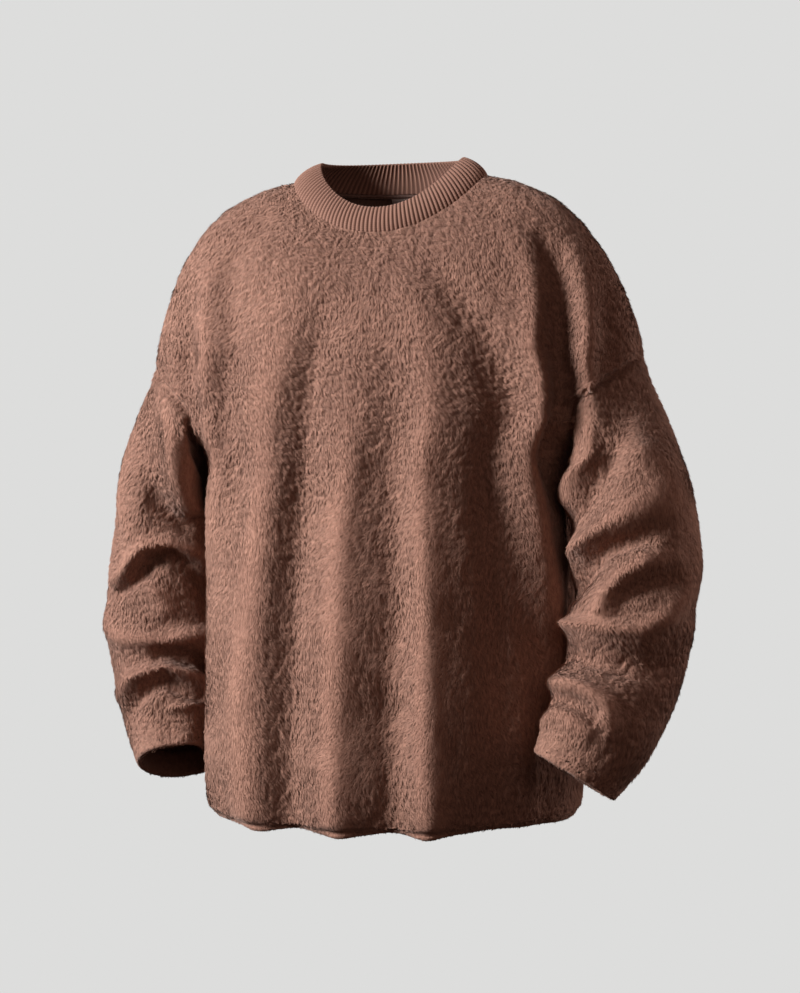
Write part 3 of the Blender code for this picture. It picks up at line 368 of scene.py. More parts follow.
def surface_points(surface, v, share):
    """Points of the body's surface at ring positions v and shares of the quarter, negative on the right."""
    a, b = v * RING_STEPS, (share + 1) * GIRTH_STEPS
    i = np.clip(a.astype(int), 0, len(surface) - 2)
    j = np.clip(b.astype(int), 0, surface.shape[1] - 2)
    s, t = (a - i)[..., None], (b - j)[..., None]
    return ((surface[i, j] * (1 - s) + surface[i + 1, j] * s) * (1 - t)
            + (surface[i, j + 1] * (1 - s) + surface[i + 1, j + 1] * s) * t)


def panel_net(back):
    """The front or back. Columns run from the wearer's right to the left in front, and on round the back."""
    seam, fan = row_levels()
    even = np.linspace(-1, 1, (COLUMNS_BACK if back else COLUMNS_FRONT) + 1)
    v = seam[:, None] + fan[:, None] * (1 - even**2)
    share = even - np.sign(even) * (1 - armhole_share(seam))[:, None] * np.abs(even) ** 2
    points = surface_points(body_surface(back), v, share)
    girth = 2 - share if back else share
    if back:
        points, girth = points[:, ::-1], girth[:, ::-1]
    return Net(points, girth, points[:, :, 2].copy(), False, 1)


def grid_faces(rows, columns, closed):
    """Quads of a grid of points."""
    i, j = np.meshgrid(np.arange(rows - 1), np.arange(columns if closed else columns - 1), indexing="ij")
    i, j = i.ravel(), j.ravel()
    k = (j + 1) % columns
    return np.stack([i * columns + j, i * columns + k, (i + 1) * columns + k, (i + 1) * columns + j], axis=1)


def net_faces(net):
    """Point numbers of the net's quads, each in the order that faces out."""
    quads = grid_faces(*net.points.shape[:2], net.closed)
    return quads if net.turn > 0 else quads[:, ::-1]


def shared_normals(nets, easing=0):
    """Outward normals of all nets. Points that lie in one place, as at a seam, share one normal.
    Each easing levels every normal with its neighbours."""
    points = np.vstack([net.points.reshape(-1, 3) for net in nets])
    first = np.cumsum([0] + [net.points.size // 3 for net in nets])
    quads = np.vstack([net_faces(net) + start for net, start in zip(nets, first)])
    faces = np.cross(points[quads[:, 2]] - points[quads[:, 0]], points[quads[:, 3]] - points[quads[:, 1]])
    faces /= np.maximum(np.sqrt(np.linalg.norm(faces, axis=1, keepdims=True)), 1e-9)
    place = np.unique(np.round(points, 6), axis=0, return_inverse=True)[1].ravel()
    corners = place[quads]
    for _ in range(easing + 1):
        shared = np.zeros((place.max() + 1, 3))
        for corner in range(4):
            np.add.at(shared, corners[:, corner], faces)
        shared = unit(shared)
        faces = shared[corners].mean(axis=1)
    normals = shared[place]
    return [normals[a:b].reshape(net.points.shape) for net, a, b in zip(nets, first[:-1], first[1:])]


def fold_rise(folds, net, girth_unit):
    """Height of all the folds at each point of a net."""
    total = np.zeros(net.girth.shape)
    for line in folds.values():
        line = metres(line, start=1)
        rise = np.zeros(net.girth.shape)
        near = np.full(net.girth.shape, np.inf)
        for start, end in zip(line[:-1], line[1:]):
            (girth, height, high, wide), (girth_end, height_end, high_end, wide_end) = start, end
            a = ((net.girth - girth + 2) % 4 - 2) * girth_unit
            b = net.height - height
            run, climb = (girth_end - girth) * girth_unit, height_end - height
            t = np.clip((a * run + b * climb) / (run * run + climb * climb), 0, 1)
            width = np.maximum(wide + (wide_end - wide) * t, FOLD_LEAST)
            distance = np.hypot(a - t * run, b - t * climb) / width
            value = (high + (high_end - high) * t) * np.exp(-distance**2)
            rise = np.where(distance < near, value, rise)
            near = np.minimum(near, distance)
        total += rise
    return FOLD_MOST * np.tanh(total / FOLD_MOST)


def armhole_loop(front, back, left):
    """Armhole points of the two panels: from the shoulder down the front, then up the back."""
    down = front[ARMHOLE_ROWS, -1 if left else 0][::-1]
    up = back[ARMHOLE_ROWS, 0 if left else -1]
    return np.vstack([down[:-1], up[:-1]])


def sleeve_net(table, loop, off, left):
    """A sleeve from the armhole to the cuff. Columns run from its outer side to its front, inner side and
    back. The body's normals on the armhole say where off the body is."""
    centres = metres(table)
    hand, side = ("left", 1) if left else ("right", -1)
    count = len(loop)
    angle = 2 * math.pi * np.arange(count) / count
    cosine, sine = np.cos(angle), np.sin(angle)
    power = np.where(cosine < 0, SLEEVE_SQUARE[hand], 2.0)
    reach = (np.abs(cosine) ** power + np.abs(sine) ** power) ** (-1 / power)
    puff = off * SLEEVE_PUFF * ((0.5 - 0.5 * cosine) ** 0.6)[:, None]
    twist = SLEEVE_TWIST[hand]
    last = len(centres) - 1
    steps = np.linspace(0, 1, SLEEVE_ROWS + 1)
    rows = []
    for t in steps:
        here = along(centres, t * last)
        middle, half_across, half_fore = here[:3], here[3], here[4]
        tangent = along(centres, t * last + SLEEVE_AHEAD)[:3] - along(centres, t * last - SLEEVE_AHEAD)[:3]
        tangent /= np.linalg.norm(tangent)
        fore = np.array([math.sin(twist), -math.cos(twist), 0.0])
        fore -= tangent * fore.dot(tangent)
        fore /= np.linalg.norm(fore)
        across = np.cross(fore, tangent)
        across *= side * np.sign(across[0])
        section = middle + (np.outer(cosine * reach, across) * half_across
                            + np.outer(sine * reach, fore) * half_fore)
        carried = loop + (middle - centres[0][:3]) + puff * (1 - math.exp(-t / PUFF_END))
        blend = smooth(t / SLEEVE_BLEND)
        rows.append(carried * (1 - blend) + section * blend)
    girth = np.tile(4.0 * np.arange(count) / count, (len(rows), 1))
    height = np.tile(steps[:, None] * SLEEVE_LENGTH, (1, count))
    return Net(np.array(rows), girth, height, True, side)


def settled(net):
    """The same sleeve with the cloth below the armhole drawn smooth, so that no fold there crosses
    itself."""
    points = net.points.copy()
    half = 0.5 * SETTLED_LENGTH
    share = 0.5 * (1 - smooth((net.height - half) / half))[1:-1, :, None]
    for _ in range(int(SETTLED_ROUNDS * (FINE / 8) ** 2)):
        beside = np.roll(points, 1, axis=1) + np.roll(points, -1, axis=1)
        mean = (beside[1:-1] + points[:-2] + points[2:]) / 4
        points[1:-1] += share * (mean - points[1:-1])
    return net._replace(points=points)


def garment_nets():
    """The outer nets of the front, back, left sleeve and right sleeve, folds included, and the folds' height
    on each."""
    panels = [panel_net(False), panel_net(True)]
    off = shared_normals(panels)
    hands = ((SLEEVE_LEFT, SLEEVE_LEFT_FOLDS, True), (SLEEVE_RIGHT, SLEEVE_RIGHT_FOLDS, False))
    sleeves = [sleeve_net(table, armhole_loop(panels[0].points, panels[1].points, left),
                          armhole_loop(*off, left), left) for table, _, left in hands]
    normals = shared_normals(panels + sleeves)
    moved, rises = [], []
    for net, normal in zip(panels, normals):
        rise = fold_rise(BODY_FOLDS, net, GIRTH_QUARTER)
        moved.append(net._replace(points=net.points + normal * FOLD_LEVEL * rise[:, :, None]))
        rises.append(rise)
    for net, normal, (_, folds, left) in zip(sleeves, normals[2:], hands):
        share = net.height / SLEEVE_LENGTH
        calm = 1 - CUFF_CALM * smooth((share - CUFF_START) / (1 - CUFF_START))
        rise = fold_rise(folds, net, SLEEVE_QUARTER) * smooth(share / FOLDS_START) * calm
        shift = armhole_loop(moved[0].points, moved[1].points, left) - net.points[0]
        carry = 1 - smooth(share / SLEEVE_BLEND)
        hung = net.points + normal * rise[:, :, None] + shift[None] * carry[:, :, None]
        moved.append(settled(net._replace(points=hung)))
        rises.append(rise)
    return moved, rises


def hashed(at, salt):
    """A whole number from 0 to 65535 for each cell."""
    mixed = (at[..., 0] * 73856093) ^ (at[..., 1] * 19349663) ^ (at[..., 2] * 83492791) ^ salt
    mixed = (mixed ^ (mixed >> 13)) * 1274126177 & 0xFFFFFFFF
    return (mixed ^ (mixed >> 16)) & 0xFFFF


def noise(points, seed):
    """Smooth seeded numbers from -1 to 1 at places in space, one cell to a unit."""
    cell = np.floor(points).astype(np.int64)
    t = points - cell
    t = t * t * t * (t * (t * 6 - 15) + 10)
    total = np.zeros(points.shape[:-1])
    for corner in np.ndindex(2, 2, 2):
        weight = np.prod(np.where(corner, t, 1 - t), axis=-1)
        total += weight * (hashed(cell + corner, seed * 2654435761) / 32767.5 - 1)
    return total


def noises(points, table):
    """The sum of a table's noises."""
    return sum(height * noise(points / length, seed) for height, length, seed in table)


def pile_flow(points, normals):
    """The way the pile lies: down the cloth, swinging from side to side."""
    down = np.zeros(points.shape)
    down[..., 2] = -1
    down[..., :2] = normals[..., :2] * PILE_TURN
    down = unit(down - normals * (down * normals).sum(axis=-1, keepdims=True))
    side = np.cross(normals, down)
    return unit(down + side * noises(points, SWING)[..., None])


def pile_clumps(points):
    """Height of the pile's clumps, about 0, and their edges from 0 to 1."""
    drawn = swayed(points)
    rim = clump_cells(drawn)[1]
    return noises(drawn, CLUMP_WAVES) + 0.55 - 1.1 * rim ** 2, rim


def seam_relief(nets):
    """A groove along the armhole seams, between two low swells of pile, for each net."""
    relief = []
    for net in nets:
        if net.closed:
            distance, fade = net.height, 1.0
        else:
            run = np.linalg.norm(np.diff(net.points, axis=1), axis=2)
            from_left = np.concatenate([np.zeros((len(run), 1)), np.cumsum(run, axis=1)], axis=1)
            distance = np.minimum(from_left, from_left[:, -1:] - from_left)
            fade = np.zeros((len(run), 1))
            fade[ARMHOLE_ROWS] = 1
            for k in range(1, FINE):
                fade[ARMHOLE_ROWS.start - k] = fade[ARMHOLE_ROWS.stop - 1 + k] = 1 - k / FINE
        relief.append(fade * (-SEAM_DEPTH * np.exp(-(distance / SEAM_DEPTH) ** 2)
                              + SEAM_SWELL * np.exp(-((distance - SWELL_PLACE) / SWELL_WIDTH) ** 2)))
    return relief


def turned_edge(net, eased):
    """Rows that carry the hem or cuff edge round to the inside and up it."""
    edge_row, step = (-1, -1) if net.closed else (0, 1)
    outward = eased[edge_row]
    edge = net.points[edge_row] - outward * PILE_DEPTH
    down = net.points[edge_row] - net.points[edge_row + 3 * step]
    down = unit(down - outward * (down * outward).sum(axis=1, keepdims=True))
    half = (HEM_WALL - PILE_DEPTH) / 2
    rows = [edge - outward * half * (1 - math.cos(angle)) + down * half * math.sin(angle)
            for angle in np.linspace(0, math.pi, HEM_BEND + 1)[1:]]
    spacing = np.linalg.norm(net.points[edge_row] - net.points[edge_row + step], axis=1).mean()
    last = int(HEM_TURN_UP / spacing)
    for k in range(3, last + 1, 3):
        rows.append(net.points[edge_row + k * step] - eased[edge_row + k * step] * HEM_WALL)
    top = edge_row + (last + 1) * step
    rows.append(net.points[top] - eased[top] * (PILE_WALL - HEM_LIP))
    return np.array(rows)


def stand(name, data):
    """An object of that data in the scene."""
    made = bpy.data.objects.new(name, data)
    bpy.context.scene.collection.objects.link(made)
    return made


def add_mesh(name, points, faces, look, shade=None, normals=None, uv=None):
    """One object from arrays of points and faces with equal numbers of corners."""
    mesh = bpy.data.meshes.new(name)
    points = np.asarray(points, np.float32).reshape(-1, 3)
    faces = np.asarray(faces, np.int32)
    mesh.vertices.add(len(points))
    mesh.vertices.foreach_set("co", points.ravel())
    mesh.loops.add(faces.size)
    mesh.loops.foreach_set("vertex_index", faces.ravel())
    mesh.polygons.add(len(faces))
    mesh.polygons.foreach_set("loop_start", np.arange(0, faces.size, faces.shape[1], dtype=np.int32))
    mesh.update(calc_edges=True)
    mesh.polygons.foreach_set("use_smooth", np.ones(len(faces), bool))
    if shade is not None:
        colour = np.ones((len(points), 4), np.float32)
        colour[:, :3] = np.asarray(shade, np.float32).reshape(len(points), -1)
        layer = mesh.color_attributes.new("shade", "FLOAT_COLOR", "POINT")
        layer.data.foreach_set("color", colour.ravel())
    if uv is not None:
        layer = mesh.uv_layers.new(name="map")
        layer.data.foreach_set("uv", np.asarray(uv, np.float32)[faces.ravel()].ravel())
    if normals is not None:
        mesh.normals_split_custom_set_from_vertices(np.asarray(normals, np.float32).reshape(-1, 3))
    mesh.materials.append(look)
    piece = stand(name, mesh)
    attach(piece, "root")
    return piece


class Nodes:
    """A short way to write a material's nodes."""

    def __init__(self, name):
        self.look = bpy.data.materials.new(name)
        self.look.use_nodes = True
        self.tree = self.look.node_tree
        self.shader = self.tree.nodes["Principled BSDF"]

    def put(self, node, **settings):
        made = self.tree.nodes.new("ShaderNode" + node)
        for key, value in settings.items():
            setattr(made, key, value)
        return made

    def place(self, space="Object"):
        return self.put("TexCoord").outputs[space]

    def wire(self, source, target):
        self.tree.links.new(source, target)

    def fill(self, socket, value):
        """Set a socket to a number or colour, or wire it."""
        if isinstance(value, (int, float)):
            socket.default_value = value
        elif isinstance(value, tuple):
            socket.default_value = (*value, 1)
        else:
            self.wire(value, socket)

    def surface(self, **settings):
        """Fill the shader's own sockets."""
        for key, value in settings.items():
            self.fill(self.shader.inputs[SOCKETS[key]], value)

    def math(self, operation, *inputs):
        made = self.put("Math", operation=operation)
        for socket, value in zip(made.inputs, inputs):
            self.fill(socket, value)
        return made.outputs[0]

    def noise(self, place, scale, detail=2.0, rough=0.5):
        made = self.put("TexNoise")
        for name, value in (("Scale", scale), ("Detail", detail), ("Roughness", rough), ("Vector", place)):
            self.fill(made.inputs[name], value)
        return made

    def ramp(self, value, *stops):
        made = self.put("ValToRGB")
        ramp = made.color_ramp
        while len(ramp.elements) < len(stops):
            ramp.elements.new(0.5)
        for element, (place, colour) in zip(ramp.elements, stops):
            element.position = place
            element.color = (*colour, 1)
        self.wire(value, made.inputs["Fac"])
        return made.outputs["Color"]

    def times(self, a, b):
        made = self.put("Mix", data_type="RGBA", blend_type="MULTIPLY")
        for socket, value in ((made.inputs["Factor"], 1.0), (made.inputs[6], a), (made.inputs[7], b)):
            self.fill(socket, value)
        return made.outputs[2]

    def bump(self, height, distance, strength=1.0):
        made = self.put("Bump")
        for name, value in (("Distance", distance), ("Strength", strength), ("Height", height)):
            self.fill(made.inputs[name], value)
        self.wire(made.outputs["Normal"], self.shader.inputs["Normal"])


def toned(colour, share):
    """A darker tone of a colour."""
    return tuple(share * c for c in colour)


SOCKETS = {"colour": "Base Color", "rough": "Roughness", "shine": "Specular IOR Level", "sheen": "Sheen Weight",
           "sheen_rough": "Sheen Roughness", "sheen_tint": "Sheen Tint", "glow": "Emission Color",
           "glow_strength": "Emission Strength"}
FLEECE = (0.328, 0.174, 0.126)
# The fleece's colour under the deepest painted shade, at tuft roots and clump rims.
FLEECE_PAINTED_SHADE = (0.085, 0.034, 0.024)
SHEEN = (1.0, 0.74, 0.64)


def fleece_look(name, bump):
    """Plush pile: warm brown, paler and greyer where the tips catch the light, with fine strands; painted shade
    darkens the roots, the clump rims and the gaps between strands.
    """
    n = Nodes(name)
    place = n.place()
    shade = n.put("Attribute", attribute_name="shade")
    drift = n.noise(place, 9.0, 3.0)
    patches = n.ramp(drift.outputs["Fac"], (0.30, (0.90, 0.88, 0.88)), (0.70, (1.06, 1.05, 1.04)))
    sway = n.noise(place, 36.0, 1.0)
    moved = n.put("VectorMath", operation="MULTIPLY_ADD")
    n.wire(sway.outputs["Color"], moved.inputs[0])
    moved.inputs[1].default_value = (0.012, 0.012, 0.004)
    n.wire(place, moved.inputs[2])
    drawn = n.put("Mapping")
    drawn.inputs["Scale"].default_value = (1.0, 1.0, 0.30)
    n.wire(moved.outputs[0], drawn.inputs["Vector"])
    strands = n.noise(drawn.outputs["Vector"], 420.0, 3.0, 0.6)
    # Painted shade from the shade attribute: darker at tuft roots, on the skin below the tufts and at clump
    # rims.
    depth = n.ramp(shade.outputs["Fac"], (0.0, FLEECE_PAINTED_SHADE), (0.45, toned(FLEECE, 0.55)), (1.0, FLEECE))
    # Painted shade in the gaps between strands and a faint painted highlight on their tops, following the bump.
    painted_relief_shading = n.ramp(strands.outputs["Fac"], (0.30, (0.72, 0.70, 0.70)), (0.60, (1.05, 1.05, 1.05)))
    n.surface(colour=n.times(n.times(depth, patches), painted_relief_shading), rough=0.85, shine=0.15, sheen=0.22,
              sheen_rough=0.50, sheen_tint=SHEEN)
    if bump:
        n.bump(strands.outputs["Fac"], bump, 0.9)
    return n.look


def knit_look(name, colour, scale, bump):
    """The brushed knitted inside."""
    n = Nodes(name)
    place = n.place()
    loops = n.noise(place, scale, 2.0, 0.6)
    drift = n.noise(place, 14.0, 2.0)
    tone = n.ramp(drift.outputs["Fac"], (0.3, toned(colour, 0.85)), (0.7, colour))
    # Painted shade in the hollows between the loops and a faint painted highlight on their tops, following the
    # bump.
    painted_relief_shading = n.ramp(loops.outputs["Fac"], (0.3, (0.6, 0.6, 0.6)), (0.65, (1.1, 1.1, 1.1)))
    n.surface(colour=n.times(tone, painted_relief_shading), rough=0.9, shine=0.2, sheen=0.15)
    n.bump(loops.outputs["Fac"], bump, 0.8)
    return n.look


def clump_cells(points):
    """For each place, the way to the middle of its clump, and how far towards the clump's edge it lies."""
    scaled = points / CLUMP_SIZE
    cell = np.floor(scaled).astype(np.int64)
    best = np.full(points.shape[:-1], 9.0)
    second = best.copy()
    way = np.zeros(points.shape)
    for corner in np.ndindex(3, 3, 3):
        at = cell + corner - 1
        middle = np.empty(points.shape)
        for axis in range(3):
            middle[..., axis] = at[..., axis] + 0.15 + 0.7 * hashed(at, (CLUMP_SEED + axis) * 7919) / 65535
        away = middle - scaled
        distance = np.linalg.norm(away, axis=-1)
        nearer = distance < best
        second = np.where(nearer, best, np.minimum(second, distance))
        way = np.where(nearer[..., None], away, way)
        best = np.where(nearer, distance, best)
    return way * CLUMP_SIZE, best / np.maximum(second, 1e-6)


def swayed(points):
    """Places moved about a little, so that clumps bend and lean."""
    return points + np.stack([noises(points, [row]) for row in SWAYS], axis=-1)


def tufts(points, normals, flat, trim, count, seed):
    """Flat tufts rooted on a net, as separate triangles: their points, normals and shades, a random tone times
    painted shade.
    Each row of the net has its own trim, the share of a tuft's full length. The rim of a clump is darker with
    painted shade, and its tufts are shorter and lean to its middle. A tuft's root has more painted shade, less
    of it on a ridge."""
    rng = np.random.default_rng(seed)
    columns = points.shape[1]
    across = points[:-1, 1:] - points[:-1, :-1]
    up = points[1:, :-1] - points[:-1, :-1]
    area = np.linalg.norm(np.cross(across, up), axis=2).ravel()
    pick = rng.choice(area.size, count, p=area / area.sum())
    i, j = np.divmod(pick, columns - 1)
    s, t = rng.random(count)[:, None], rng.random(count)[:, None]

    def between(field):
        low = field[i, j] * (1 - s) + field[i, j + 1] * s
        high = field[i + 1, j] * (1 - s) + field[i + 1, j + 1] * s
        return low * (1 - t) + high * t

    root, out, flat = between(points), unit(between(normals)), between(flat[:, :, None])[:, 0]
    way, rim = clump_cells(swayed(root))
    rim = rim * (1 - RIDGE_CALM * flat)
    way -= out * (way * out).sum(axis=1, keepdims=True)
    flow = pile_flow(root, out)
    lean = noises(root, TUFT_LEAN) + LEAN_SPREAD * (rng.random(count) * 2 - 1)
    flow = unit(flow + np.cross(out, flow) * lean[:, None])
    side = np.cross(out, flow)
    lift = (TUFT_LIFT - RIM_LIFT * rim + LIFT_SPREAD * rng.random(count)) * (1 - RIDGE_CALM * flat)
    length = TUFT_LENGTH * (0.7 + 0.5 * rng.random(count)) * (1 - 0.25 * rim) * trim[i]
    width = TUFT_WIDTH * (0.7 + 0.6 * rng.random(count))
    tip = (root + (flow * np.cos(lift)[:, None] + out * np.sin(lift)[:, None]) * length[:, None]
           + way * (RIM_DRAW * smooth((rim - 0.35) / 0.5))[:, None])
    half = side * (width / 2)[:, None]
    corners = np.stack([root + half, root - half, tip], axis=1)
    split = side * (TUFT_SPLIT * (1 - 0.6 * flat))[:, None]
    facing = unit(np.stack([out + split, out - split, out + flow * 0.15], axis=1))
    # Painted shade: a random tone to each tuft, darker near a clump's rim, and its root darker still, less so
    # on a ridge.
    own = (0.84 + 0.24 * rng.random(count)) * (1 - 0.30 * smooth((rim - 0.55) / 0.4))
    foot = (FOOT_SHADE + RIDGE_SHADE * flat) * own
    return corners, facing, np.stack([foot, foot, own], axis=1)


# The ribbed neckband, tape and label. The rim is one more ring, in millimetres.
RIM = (0, 79, -4, 18, -60, -38, 52, 22, 2.1, 1.6)
RIBS = 116
RIB_COLUMNS = 8           # points to a rib
RIB_ROWS = 10             # rows up its outer face
RIB_ROWS_INSIDE = 8
RIB_HEIGHT = 0.0014
RIB_MEAN = 0.6            # the share of a rib's height that lies below the band's own face
RIB_WALL = 0.0036
RIB_TAPER = 0.0006        # how much thinner each face is at the rim
RIB_SINK = 0.0012         # how far the outer face lies below the fleece at the seam
RIB_SINK_END = 0.08       # share of the height over which it comes up
RIB_PLUMP = 0.45          # below 1 the ribs are full and the troughs narrow
RIB_BULGE = 0.0030
RIB_STITCH = 0.0019       # height of one knitted stitch
# Painted shade in the troughs between ribs, beside 1 on their ridges.
RIB_FOOT_SHADE = 0.35
TAPE_DROP = 0.0008        # the tape's upper edge lies this far below the seam
TAPE_HEIGHT = 0.0045
LINING_GAP = 0.0003
LABEL_WIDTH = 0.042
LABEL_HEIGHT = 0.030
TAPE_LIFT, TAPE_WALL = 0.0004, 0.0009       # above the fleece's inside
LABEL_LIFT, LABEL_WALL = 0.0006, 0.0007
TAPE_SEAM = 0.0011        # its stitches lie this far in from its edges
TAPE_STITCH = (0.0036, 0.0027, 0.00035)     # pitch, length and the thread's radius
LABEL_STITCH = (0.0034, 0.0024, 0.0003)


def around_loop(loop, places):
    """Points of a closed polyline at places counted in its own points."""
    first = np.floor(places).astype(int) % len(loop)
    t = (places - np.floor(places))[:, None]
    return loop[first] * (1 - t) + loop[(first + 1) % len(loop)] * t


def rib_loops(nets, normals):
    """Outer and inner points of the neck seam, and the rim's points above them, once round."""
    outer = np.vstack([net.points[-1][:-1] for net in nets[:2]])
    facing = np.vstack([normal[-1][:-1] for normal in normals[:2]])
    inner = outer - facing * PILE_WALL
    ring = metres([RIM], end=RING_LENGTHS)[0]
    rim = []
    for back, columns in ((False, COLUMNS_FRONT), (True, COLUMNS_BACK)):
        half = half_ring(ring, back, np.linspace(0, 1, columns // 2 + 1))
        rim.append((half[::-1] if back else half)[:-1])
    rim = np.vstack(rim)
    run = run_along(np.vstack([rim, rim[:1]]))
    count = RIBS * RIB_COLUMNS
    places = np.interp(np.arange(count) / count * run[-1], run, np.arange(len(run)))
    return [around_loop(loop, places) for loop in (outer, inner, rim)]


def neck_rib(nets, normals):
    """A ring of ribs, raised on both faces, that rolls over at the rim."""
    outer, inner, rim = rib_loops(nets, normals)
    seam = outer * 0.75 + inner * 0.25
    foot = (seam + inner) / 2
    rise = rim - foot
    out = unit(np.cross(np.roll(rim, -1, 0) - np.roll(rim, 1, 0), rise))
    base_out, up = unit(outer - inner), unit(rise)
    middle = (seam + inner + 2 * rim) / 4 + out * RIB_BULGE
    phase = 2 * math.pi * np.arange(len(rim)) / RIB_COLUMNS
    wave = (0.5 + 0.5 * np.cos(phase))[:, None] ** RIB_PLUMP

    def level(t):
        """The middle of the band at a share of its height, and its way out."""
        line = foot * (1 - t) * (1 - 2 * t) + 4 * middle * t * (1 - t) + rim * t * (2 * t - 1)
        return line, unit(base_out * (1 - t) + out * t)

    sections = []
    for t in np.linspace(0, 1, RIB_ROWS + 1):
        line, facing = level(t)
        depth = RIB_WALL / 2 - RIB_TAPER * t - RIB_SINK * math.exp(-t / RIB_SINK_END)
        sections.append(line + facing * (depth + RIB_HEIGHT * (wave - RIB_MEAN) * (1 - 0.25 * t)))
    for angle in np.linspace(0, math.pi, 7)[1:-1]:
        reach = RIB_WALL / 2 - RIB_TAPER
        bulge = RIB_HEIGHT * (wave - RIB_MEAN) * 0.75
        sections.append(rim + out * math.cos(angle) * (reach + bulge * abs(math.cos(angle)))
                        + up * math.sin(angle) * (reach + bulge * 0.6))
    for t in np.linspace(1, 0, RIB_ROWS_INSIDE + 1):
        line, facing = level(t)
        depth = RIB_WALL / 2 - RIB_TAPER * t
        sections.append(line - facing * (depth + RIB_HEIGHT * ((1 - wave) - 0.5) * 0.8))
    points = np.stack(sections, axis=0)
    shape = points.shape[:2]
    steps = np.concatenate([np.linspace(0, 0.025, RIB_ROWS + 1), np.linspace(0.026, 0.031, 5),
                            np.linspace(0.032, 0.057, RIB_ROWS_INSIDE + 1)])
    uv = np.stack([np.broadcast_to(np.arange(shape[1]) / RIB_COLUMNS, shape),
                   np.broadcast_to(steps[:, None] / RIB_STITCH, shape)], axis=-1)
    # Painted shade: darker in the troughs between ribs, on the outer and the inner face.
    shade = np.tile(wave, (len(sections), 1, 1))
    shade[-RIB_ROWS_INSIDE - 1:] = 1 - wave
    shade = RIB_FOOT_SHADE + (1 - RIB_FOOT_SHADE) * shade
    return points, grid_faces(*shape, True), uv.reshape(-1, 2), shade.reshape(-1, 1)


def rib_look():
    """Rib knit: pale ridges and troughs darkened with painted shade, each ridge a column of small stitches."""
    n = Nodes("rib_knit")
    parts = n.put("SeparateXYZ")
    n.wire(n.place("UV"), parts.inputs[0])
    shade = n.put("Attribute", attribute_name="shade")
    across = n.math("SUBTRACT", n.math("FRACT", n.math("ADD", parts.outputs[0], 0.5)), 0.5)
    slanted = n.math("SUBTRACT", parts.outputs[1], n.math("MULTIPLY", n.math("ABSOLUTE", across), 1.6))
    stitch = n.math("ABSOLUTE", n.math("SUBTRACT", n.math("FRACT", slanted), 0.5))
    fibre = n.noise(n.place(), 1400.0, 2.0, 0.6)
    height = n.math("ADD", n.math("MULTIPLY", stitch, -1.4), n.math("MULTIPLY", fibre.outputs["Fac"], 0.5))
    # Painted shade from the shade attribute: darker in the troughs between ribs.
    tone = n.ramp(shade.outputs["Fac"], (0.32, (0.078, 0.034, 0.024)), (0.60, (0.170, 0.085, 0.061)),
                  (1.0, (0.212, 0.110, 0.080)))
    # Painted shade between the stitches and a faint painted highlight on their tops, following the bump.
    painted_relief_shading = n.ramp(stitch, (0.0, (1.05, 1.05, 1.05)), (0.5, (0.80, 0.78, 0.77)))
    n.surface(colour=n.times(tone, painted_relief_shading), rough=0.8, shine=0.2, sheen=0.10, sheen_tint=SHEEN)
    n.bump(height, 0.0005, 0.8)
    return n.look


def woven_look(name, colour, scale, bump):
    """A fine woven tape or label."""
    n = Nodes(name)
    turned = n.put("Mapping")
    turned.inputs["Scale"].default_value = (1.0, 1.0, 0.6)
    n.wire(n.place(), turned.inputs["Vector"])
    waves = []
    for direction in ("X", "Z"):
        wave = n.put("TexWave", wave_type="BANDS", bands_direction=direction)
        wave.inputs["Scale"].default_value = scale
        wave.inputs["Distortion"].default_value = 0.6
        n.wire(turned.outputs["Vector"], wave.inputs["Vector"])
        waves.append(wave.outputs["Fac"])
    weave = n.math("MULTIPLY", *waves)
    n.surface(colour=n.ramp(weave, (0.0, toned(colour, 0.72)), (0.8, colour)), rough=0.6, sheen=0.2)
    n.bump(weave, bump, 0.7)
    return n.look


def thread_look():
    """Twisted sewing thread."""
    n = Nodes("thread")
    twist = n.noise(n.place(), 2500.0, 1.0).outputs["Fac"]
    n.surface(colour=n.ramp(twist, (0.3, (0.16, 0.09, 0.07)), (0.7, (0.26, 0.15, 0.12))), rough=0.55)
    n.bump(twist, 0.0002, 0.5)
    return n.look


def lining_strip(lining, inward, drops, columns, lift, thickness):
    """A strip on the back's inside: rows at drops below the neck seam, columns at x places or at the
    lining's own. Its near face, its far face and its way in."""
    lining, inward = lining[::-1], inward[::-1]
    depths = [run_along(lining[:, j]) for j in range(lining.shape[1])]
    rows, facings = [], []
    for drop in drops:
        fields = [np.array([read_at(drop, run, field[:, j]) for j, run in enumerate(depths)])
                  for field in (lining, inward)]
        if columns is not None:
            order = np.argsort(fields[0][:, 0])
            fields = [read_at(columns, fields[0][order, 0], field[order]) for field in fields]
        rows.append(fields[0])
        facings.append(unit(fields[1]))
    rows, facings = np.array(rows), np.array(facings)
    return rows + facings * lift, rows + facings * (lift + thickness), facings


def closed_strip(near, far):
    """Points and faces of a strip with both faces and its edges."""
    rows, columns = near.shape[:2]
    loop = np.concatenate([far, near[::-1]], axis=0)
    j = np.arange(columns - 1)
    back = (2 * rows - 1) * columns + j
    i = np.arange(rows - 1)
    a, b, c, d = i * columns, (i + 1) * columns, (2 * rows - 1 - i) * columns, (2 * rows - 2 - i) * columns
    faces = [grid_faces(2 * rows, columns, False), np.stack([back, back + 1, j + 1, j], axis=1),
             np.stack([a, c, d, b], axis=1), np.stack([b, d, c, a], axis=1) + columns - 1]
    return loop.reshape(-1, 3), np.vstack(faces)


